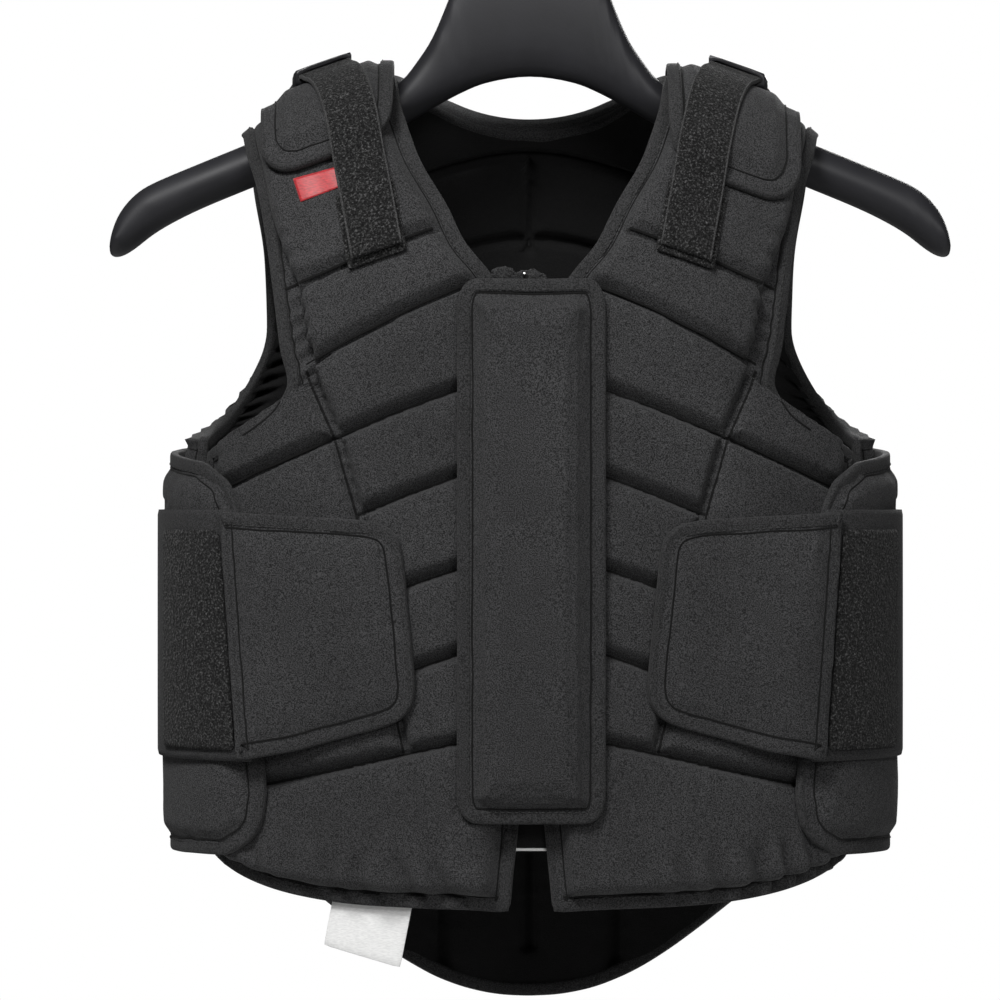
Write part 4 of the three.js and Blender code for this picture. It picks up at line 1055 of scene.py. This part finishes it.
# %% Copy and remesh
def copy_node(node, name):
    """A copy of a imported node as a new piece, with its doubled corners merged."""
    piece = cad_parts[node].copy()
    piece.data = piece.data.copy()
    piece.name = name
    for key in [k for k in piece.keys() if k.startswith("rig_")]:
        del piece[key]
    piece.parent = None
    bpy.context.scene.collection.objects.link(piece)
    only(piece)
    bpy.ops.mesh.customdata_custom_splitnormals_clear()
    with editing(piece):
        bpy.ops.mesh.remove_doubles(threshold=0.02 * MM)
        bpy.ops.mesh.tris_convert_to_quads()
    return piece


def even_mesh(piece, voxel):
    """Rebuilds a piece from even squares of a size in millimetres, and eases its steps."""
    only(piece)
    piece.data.remesh_voxel_size = voxel * MM
    piece.data.remesh_voxel_adaptivity = 0
    bpy.ops.object.voxel_remesh()
    apply_modifier(piece, "SMOOTH", factor=0.5, iterations=5)


# %% Air pressure
SIM_FRAMES = 20
CLOTH_SETTINGS = {"quality": 4, "mass": 0.05, "tension_stiffness": 12, "compression_stiffness": 8,
                  "bending_stiffness": 0.4, "use_pressure": True, "uniform_pressure_force": 4.0}


def inflate(piece, held, cap):
    """Blows a closed cover up with Cloth. held are the vertices that stay. No vertex moves
    further than cap, in millimetres."""
    only(piece)
    group = piece.vertex_groups.new(name="held")
    group.add(held, 1.0, "REPLACE")
    before = [v.co.copy() for v in piece.data.vertices]
    cloth = piece.modifiers.new("Air", "CLOTH")
    for name, value in CLOTH_SETTINGS.items():
        setattr(cloth.settings, name, value)
    cloth.settings.vertex_group_mass = "held"
    cloth.settings.effector_weights.gravity = 0
    cloth.collision_settings.use_self_collision = False
    scene = bpy.context.scene
    for number in range(1, SIM_FRAMES + 1):
        scene.frame_set(number)
    graph = bpy.context.evaluated_depsgraph_get()
    after = [v.co.copy() for v in piece.evaluated_get(graph).data.vertices]
    piece.modifiers.remove(cloth)
    piece.vertex_groups.remove(group)
    scene.frame_set(1)
    most = 0.0
    for vertex, a, b in zip(piece.data.vertices, before, after):
        move = b - a
        most = max(most, move.length)
        if move.length > cap * MM:
            move *= cap * MM / move.length
        vertex.co = a + move
    print(piece.name, "moved at most", round(most / MM, 2), "mm before the limit of", cap)


# %% Dress a padded copy
HELD_RIM = 8.5


def padded_copy(node, name, stations, voxel=2.2, cap=1.8, wrinkle=1.0):
    """A padded piece from its solid: even mesh, air, creases near the tape, fine unevenness."""
    piece = copy_node(node, name)
    even_mesh(piece, voxel)
    rim = kdtree.KDTree(len(stations))
    for index, (point, _, _) in enumerate(stations):
        rim.insert(point, index)
    rim.balance()
    marks = []
    for vertex in piece.data.vertices:
        _, index, gap = rim.find(vertex.co)
        marks.append((gap / MM, index, vertex.normal.dot(stations[index][1])))
    held = [k for k, (gap, _, facing) in enumerate(marks) if gap < HELD_RIM or facing < 0.25]
    inflate(piece, held, cap)
    for k, vertex in enumerate(piece.data.vertices):
        gap, index, facing = marks[k]
        if facing < 0.2:
            continue
        wave = math.sin(index * 1.35 + 3 * noise.noise(Vector((index * 0.21, 5.0, 0.3))))
        size = max(0.0, noise.noise(Vector((index * 0.12, 2.0, 8.0))) + 0.3)
        pucker = 0.5 * size * wave * math.exp(-((gap - 9.0) / 4.5) ** 2)
        uneven = noise.noise(vertex.co * 38.0) * 0.45 + noise.noise(vertex.co * 95.0) * 0.15
        lift = (pucker + uneven * smooth((gap - 6) / 8)) * wrinkle
        vertex.co += stations[index][1] * lift * MM
    finer(piece)
    settle(piece, COVER, "cloth", node)
    return piece


# %% Straight lines through a table of ribs
def straight_table(rows):
    """A function from 0..1 to a row, straight between the rows."""
    def at(share):
        place = clamp01(share) * (len(rows) - 1)
        i = min(int(place), len(rows) - 2)
        return [mix(a, b, place - i) for a, b in zip(rows[i], rows[i + 1])]
    return at


BELT_TOP, BELT_HEIGHT, BELT_THICK, LAYER_GAP = -371.0, 129.0, 2.5, 0.5
WING_BASE, WING_THICK, TRIM = FOAM + LAYER_GAP, 7.5, 3.0
RIB_MARKS, REAR_MARKS = 60, 20


def rib_edge(table, sign, rise=lambda turn: 0.0):
    """The outline of a piece made of ribs (top turn, top, bottom turn, bottom)."""
    row = straight_table(table)

    def at(share, foot):
        turn, height = row(share)[2 * foot:2 * foot + 2]
        return turn, BELT_TOP + height * BELT_HEIGHT

    def cross(share, part):
        (t0, h0), (t1, h1) = at(share, 0), at(share, 1)
        return mix(t0, t1, part), mix(h0, h1, part)

    marks = [at(1 - k / RIB_MARKS, 0) for k in range(RIB_MARKS + 1)]
    marks += [cross(0, k / REAR_MARKS) for k in range(1, REAR_MARKS + 1)]
    marks += [at(k / RIB_MARKS, 1) for k in range(1, RIB_MARKS + 1)]
    marks += [cross(1, 1 - k / REAR_MARKS) for k in range(1, REAR_MARKS)]
    return [(lambda o, t=turn, h=height: girdle(sign * t, h, o + rise(t) + WING_BASE))
            for turn, height in marks]


# %% [markdown]
# ## Side wings and tabs
# A wing wraps round each side under the arm, and the waist belt lies on it. The tab is the
# padded front end of the belt, which closes on the loop patch. The tab stands off the chest where
# it passes over the belt.

# %% Wings
WING_RIBS = ((0.525, -0.1, 0.457, -1.13), (0.535, 0, 0.468, -1.25),
             (0.575, 0.11, 0.497, -1.315), (0.67, 0.185, 0.571, -1.375), (1, 0.235, 1, -1.385),
             (1.25, 0.26, 1.25, -1.42), (1.46, 0.28, 1.46, -1.47))
for side, sign in SIDES:
    rim = bind_edge(f"wing_{side}", rib_edge(WING_RIBS, sign), TRIM)
    wing = padded_copy(f"side_wing_{side}", f"wing_cover_{side}", rim, wrinkle=1.5)
    crease_shade_line(f"wing_{side}", wing, rim)

# %% Tabs
TAB_RIBS = ((0.165, -0.194, 0.144, -0.698), (0.171, -0.116, 0.149, -0.775),
            (0.19, -0.07, 0.169, -0.83), (0.229, -0.047, 0.207, -0.86),
            (0.416, -0.027, 0.37, -0.953), (0.533, -0.012, 0.484, -0.992))
TAB_RISE, RISE_FROM, RISE_TO = WING_THICK + BELT_THICK + 2 * LAYER_GAP, 0.3, 0.45


def tab_rise(turn):
    return TAB_RISE * clamp01((turn - RISE_FROM) / (RISE_TO - RISE_FROM))


for side, sign in SIDES:
    rim = bind_edge(f"tab_{side}", rib_edge(TAB_RIBS, sign, tab_rise), TRIM, bare=REAR_MARKS)
    tab = padded_copy(f"belt_tab_{side}", f"tab_cover_{side}", rim, 1.6, 1.2, wrinkle=0.8)
    crease_shade_line(f"tab_{side}", tab, rim)

# %% [markdown]
# ## Shoulder pads
# A flap of foam lies over each shoulder seam and is held by the strap. It lies on the vest's
# foam, which is thin at the ridge, so the flap follows it down.

# %% Pads
PAD_CENTRE, PAD_WIDTH, PAD_BACK = 107.5, 70.0, 60.0
PAD_DROPS = {"left": 61.0, "right": 48.0}
# Columns: share down the front, or behind where negative, then the inner and the outer edge.
PAD_OUTLINE = ((1, -0.5, 0.4), (0.96, -0.78, 0.62), (0.86, -0.95, 0.8), (0.7, -1, 0.92),
               (0, -0.98, 1), (-0.9, -0.93, 0.95), (-1, -0.75, 0.78))
LABEL_ROOM = {"left": 0.0, "right": 1.3}


def pad_edge(side, sign):
    rows = [(arc_of(down * PAD_DROPS[side]) if down > 0 else -arc_of(-down * PAD_BACK),
             PAD_CENTRE + inner * PAD_WIDTH / 2, PAD_CENTRE + outer * PAD_WIDTH / 2)
            for down, inner, outer in PAD_OUTLINE]
    row = straight_table(rows)

    def at(share, part):
        arc, inner, outer = row(share)
        return arc, mix(inner, outer, part)

    marks = [at(k / 60, 0) for k in range(61)] + [at(1, k / 12) for k in range(1, 13)]
    marks += [at(1 - k / 60, 1) for k in range(1, 61)] + [at(0, 1 - k / 12) for k in range(1, 12)]
    lift = LABEL_ROOM[side] + LAYER_GAP
    return [(lambda o, a=arc, x=x: over_shoulder(sign * x, a, o + foam_at(a) + lift))
            for arc, x in marks]


for side, sign in SIDES:
    rim = bind_edge(f"pad_{side}", pad_edge(side, sign), TRIM)
    pad = padded_copy(f"shoulder_pad_{side}", f"pad_cover_{side}", rim, 1.8, 1.5)
    crease_shade_line(f"pad_{side}", pad, rim)

# %% [markdown]
# ## Placket
# A padded strip with rounded corners covers the zip, so that its teeth don't press on the chest.

# %% Make the placket
PLACKET_TOP, PLACKET_LENGTH, PLACKET_HALF, PLACKET_BASE = -257.0, 273.0, 37.0, FOAM + LAYER_GAP
END_HALF = 0.83
PLACKET_OUTLINE = ((0, END_HALF), (0.015, 0.95), (0.04, 1), (0.5, 1), (0.96, 1), (0.985, 0.95),
                   (1, END_HALF))


def placket_edge():
    def at(down, half):
        height, x = PLACKET_TOP - down * PLACKET_LENGTH, half * PLACKET_HALF
        return lambda o: girdle(turn_at(x, o + PLACKET_BASE), height, o + PLACKET_BASE)
    marks = []
    for (d0, h0), (d1, h1) in zip(PLACKET_OUTLINE, PLACKET_OUTLINE[1:]):
        steps = max(2, int((d1 - d0) * 60))
        marks += [(mix(d0, d1, k / steps), mix(h0, h1, k / steps)) for k in range(steps)]
    right = [at(d, h) for d, h in marks]
    bottom = [at(1, mix(END_HALF, -END_HALF, k / 12)) for k in range(13)]
    left = [at(d, -h) for d, h in reversed(marks[1:])]
    top = [at(0, mix(-END_HALF, END_HALF, k / 12)) for k in range(12)]
    return right + bottom + left + top


rim = bind_edge("placket", placket_edge(), TRIM)
placket = padded_copy("front_placket", "placket_cover", rim, 2.0, 1.2, wrinkle=0.7)
crease_shade_line("placket", placket, rim)

# %% [markdown]
# ## Thin and hard pieces
# Belts, straps, patches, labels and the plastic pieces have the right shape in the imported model
# but its facets are coarse. A copy of each is rounded by a subdivision surface whose crease keeps
# the sharp edges of a band sharp.

# %% Rounded copies
SHARP_ANGLE, ROUND_LEVELS = math.radians(55), 2


def rounded_copy(node, name, material, slot, crease=0.9):
    piece = copy_node(node, name)
    if crease:
        with editing(piece, "DESELECT"):
            bpy.ops.mesh.select_mode(type="EDGE")
            bpy.ops.mesh.edges_select_sharp(sharpness=SHARP_ANGLE)
            bpy.ops.transform.edge_crease(value=crease)
    finer(piece, ROUND_LEVELS)
    settle(piece, material, slot, node)
    return piece


for side, _ in SIDES:
    rounded_copy(f"waist_belt_{side}", f"belt_band_{side}", WEBBING, "webbing")
    rounded_copy(f"belt_loop_patch_{side}", f"belt_pile_{side}", PILE, "loop_pile")
    rounded_copy(f"shoulder_strap_{side}", f"strap_band_{side}", PILE, "loop_pile")
    rounded_copy(f"strap_slider_{side}", f"slider_loop_{side}", BUCKLE, "hard_plastic", 0.6)
    rounded_copy(f"shoulder_loop_patch_{side}", f"chest_pile_{side}", PILE, "loop_pile")
# The zip guard behind the zip gets the same darkened lining cloth, painted shade.
rounded_copy("zip_guard", "zip_guard_cloth", SHADED_LINING, "cloth")
rounded_copy("guard_edge", "guard_edge_tape", SATIN, "white_satin")
care = rounded_copy("care_label", "care_ribbon", SATIN, "white_satin")
rounded_copy("hanger_body", "hanger_arms", MOULDED, "hard_plastic", 0)
rounded_copy("hanger_hook", "hanger_wire", STEEL, "steel", 0)
rounded_copy("front_zip", "zip_chain", TEETH, "hard_plastic")
rounded_copy("zip_pull", "zip_pull_tab", BUCKLE, "steel", 0.7)

# %% [markdown]
# ## Small sewn details
# A strap is woven with a smooth edge on each side, which catches the light as a fine line. At the
# top of the zip the ends of its tape are folded in and stick out a little above the placket, with
# the last bright tooth between them.

# %% Woven edges of the straps
STRAP_TOP_AT, STRAP_END_AT, STRAP_WIDTH = 112.0, 79.0, 25.0
STRAP_ARC, STRAP_THICK, PAD_THICK, PILE_THICK = arc_of(102.0), 2.0, 7.0, 1.2
SLIDER_AT, SLIDER_LENGTH, SLIDER_RISE = 5.0, 8.0, 2.5


def strap_edge(side, sign, across):
    """One edge of a strap, over the pad and the slider, from its front end to its back end."""
    pad_end, back_end = arc_of(PAD_DROPS[side]), -0.8 * arc_of(PAD_BACK)

    def place(offset, share):
        arc = mix(STRAP_ARC, back_end, share)
        past = clamp01((arc - pad_end + RIM_WIDTH) / (RIM_WIDTH * 2))
        bump = SLIDER_RISE * clamp01(2 - abs(arc - SLIDER_AT) / SLIDER_LENGTH)
        under = LABEL_ROOM[side] + mix(PAD_THICK, PILE_THICK, past) + 2 * LAYER_GAP
        base = foam_at(arc) + under + bump
        x = mix(STRAP_TOP_AT, STRAP_END_AT, arc / STRAP_ARC) + STRAP_WIDTH * (across - 0.5)
        return over_shoulder(sign * x, arc, offset + base)

    return [(lambda o, t=k / 60: place(o, t)) for k in range(61)]


for side, sign in SIDES:
    for number, across in enumerate((0, 1), 1):
        stations = edge_stations(strap_edge(side, sign, across), STRAP_THICK / 2, closed=False)
        name = f"strap_selvedge_{side}_{number}"
        settle(sweep(name, stations, flat_oval(0.5, 1.15, 0), False, 0.05), SELVEDGE, "webbing")

# %% Red label
LABEL_CORNERS = ((-123.3, -199.5), (-76.3, -187.5), (-119.1, -212.0), (-73.8, -195.5))


def chest_ribbon():
    """A ribbon laid on the wearer's right chest, with its corners given as X and Z."""
    piece = new_grid("red_chest_ribbon", 36, 10)
    surface = surface_of(fronts["right"])
    top_left, top_right, low_left, low_right = LABEL_CORNERS
    for vertex in piece.data.vertices:
        along, down = vertex.co.x + 0.5, 0.5 - vertex.co.y
        x, z = (mix(mix(*top, along), mix(*low, along), down) for top, low in
                zip(zip(top_left, top_right), zip(low_left, low_right)))
        hit = surface.ray_cast(Vector((x, -300, z)) * MM, Vector((0, 1, 0)))[0]
        lift = 0.5 + 0.25 * math.sin(along * 19)
        vertex.co = hit + Vector((0, -lift, 0)) * MM
    apply_modifier(piece, "SOLIDIFY", thickness=0.5 * MM)
    bpy.ops.object.shade_smooth()
    return piece


red = chest_ribbon()
settle(red, RED, "red_cloth", "chest_label")

# %% Ends of the zip tape
# A name, a middle, half sizes in millimetres and a place in the noise for each end.
ZIP_TAPE_ENDS = (("zip_tape_end_right", (-14.5, -79.5, -251.0), (6.5, 1.6, 4.2), 3.0),
                 ("zip_tape_end_left", (-1.0, -79.5, -252.2), (8.0, 1.6, 4.0), 8.0))
LAST_TOOTH, TOOTH_RADIUS = Vector((-3.5, -82.0, -250.5)), 1.4


def tape_end(name, centre, size, seed):
    bpy.ops.object.select_all(action="DESELECT")
    bpy.ops.mesh.primitive_ico_sphere_add(subdivisions=5, radius=1)
    lump = bpy.context.object
    lump.name = name
    for vertex in lump.data.vertices:
        spot = vertex.co.copy()
        fold = 1 + 0.3 * noise.noise(spot * 2.2 + Vector((seed, 0, 0)))
        fold += 0.12 * noise.noise(spot * 7 + Vector((0, seed, 0)))
        vertex.co = [(c + v * r * fold) * MM for c, v, r in zip(centre, spot, size)]
    bpy.ops.object.shade_smooth()
    settle(lump, TAPE, "cloth")


for row in ZIP_TAPE_ENDS:
    tape_end(*row)
bpy.ops.object.select_all(action="DESELECT")
bpy.ops.mesh.primitive_uv_sphere_add(segments=20, ring_count=12, radius=TOOTH_RADIUS * MM,
                                     location=LAST_TOOTH * MM)
tooth = bpy.context.object
tooth.name = "zip_last_tooth"
rest_place(tooth)
bpy.ops.object.shade_smooth()
settle(tooth, STEEL, "steel")
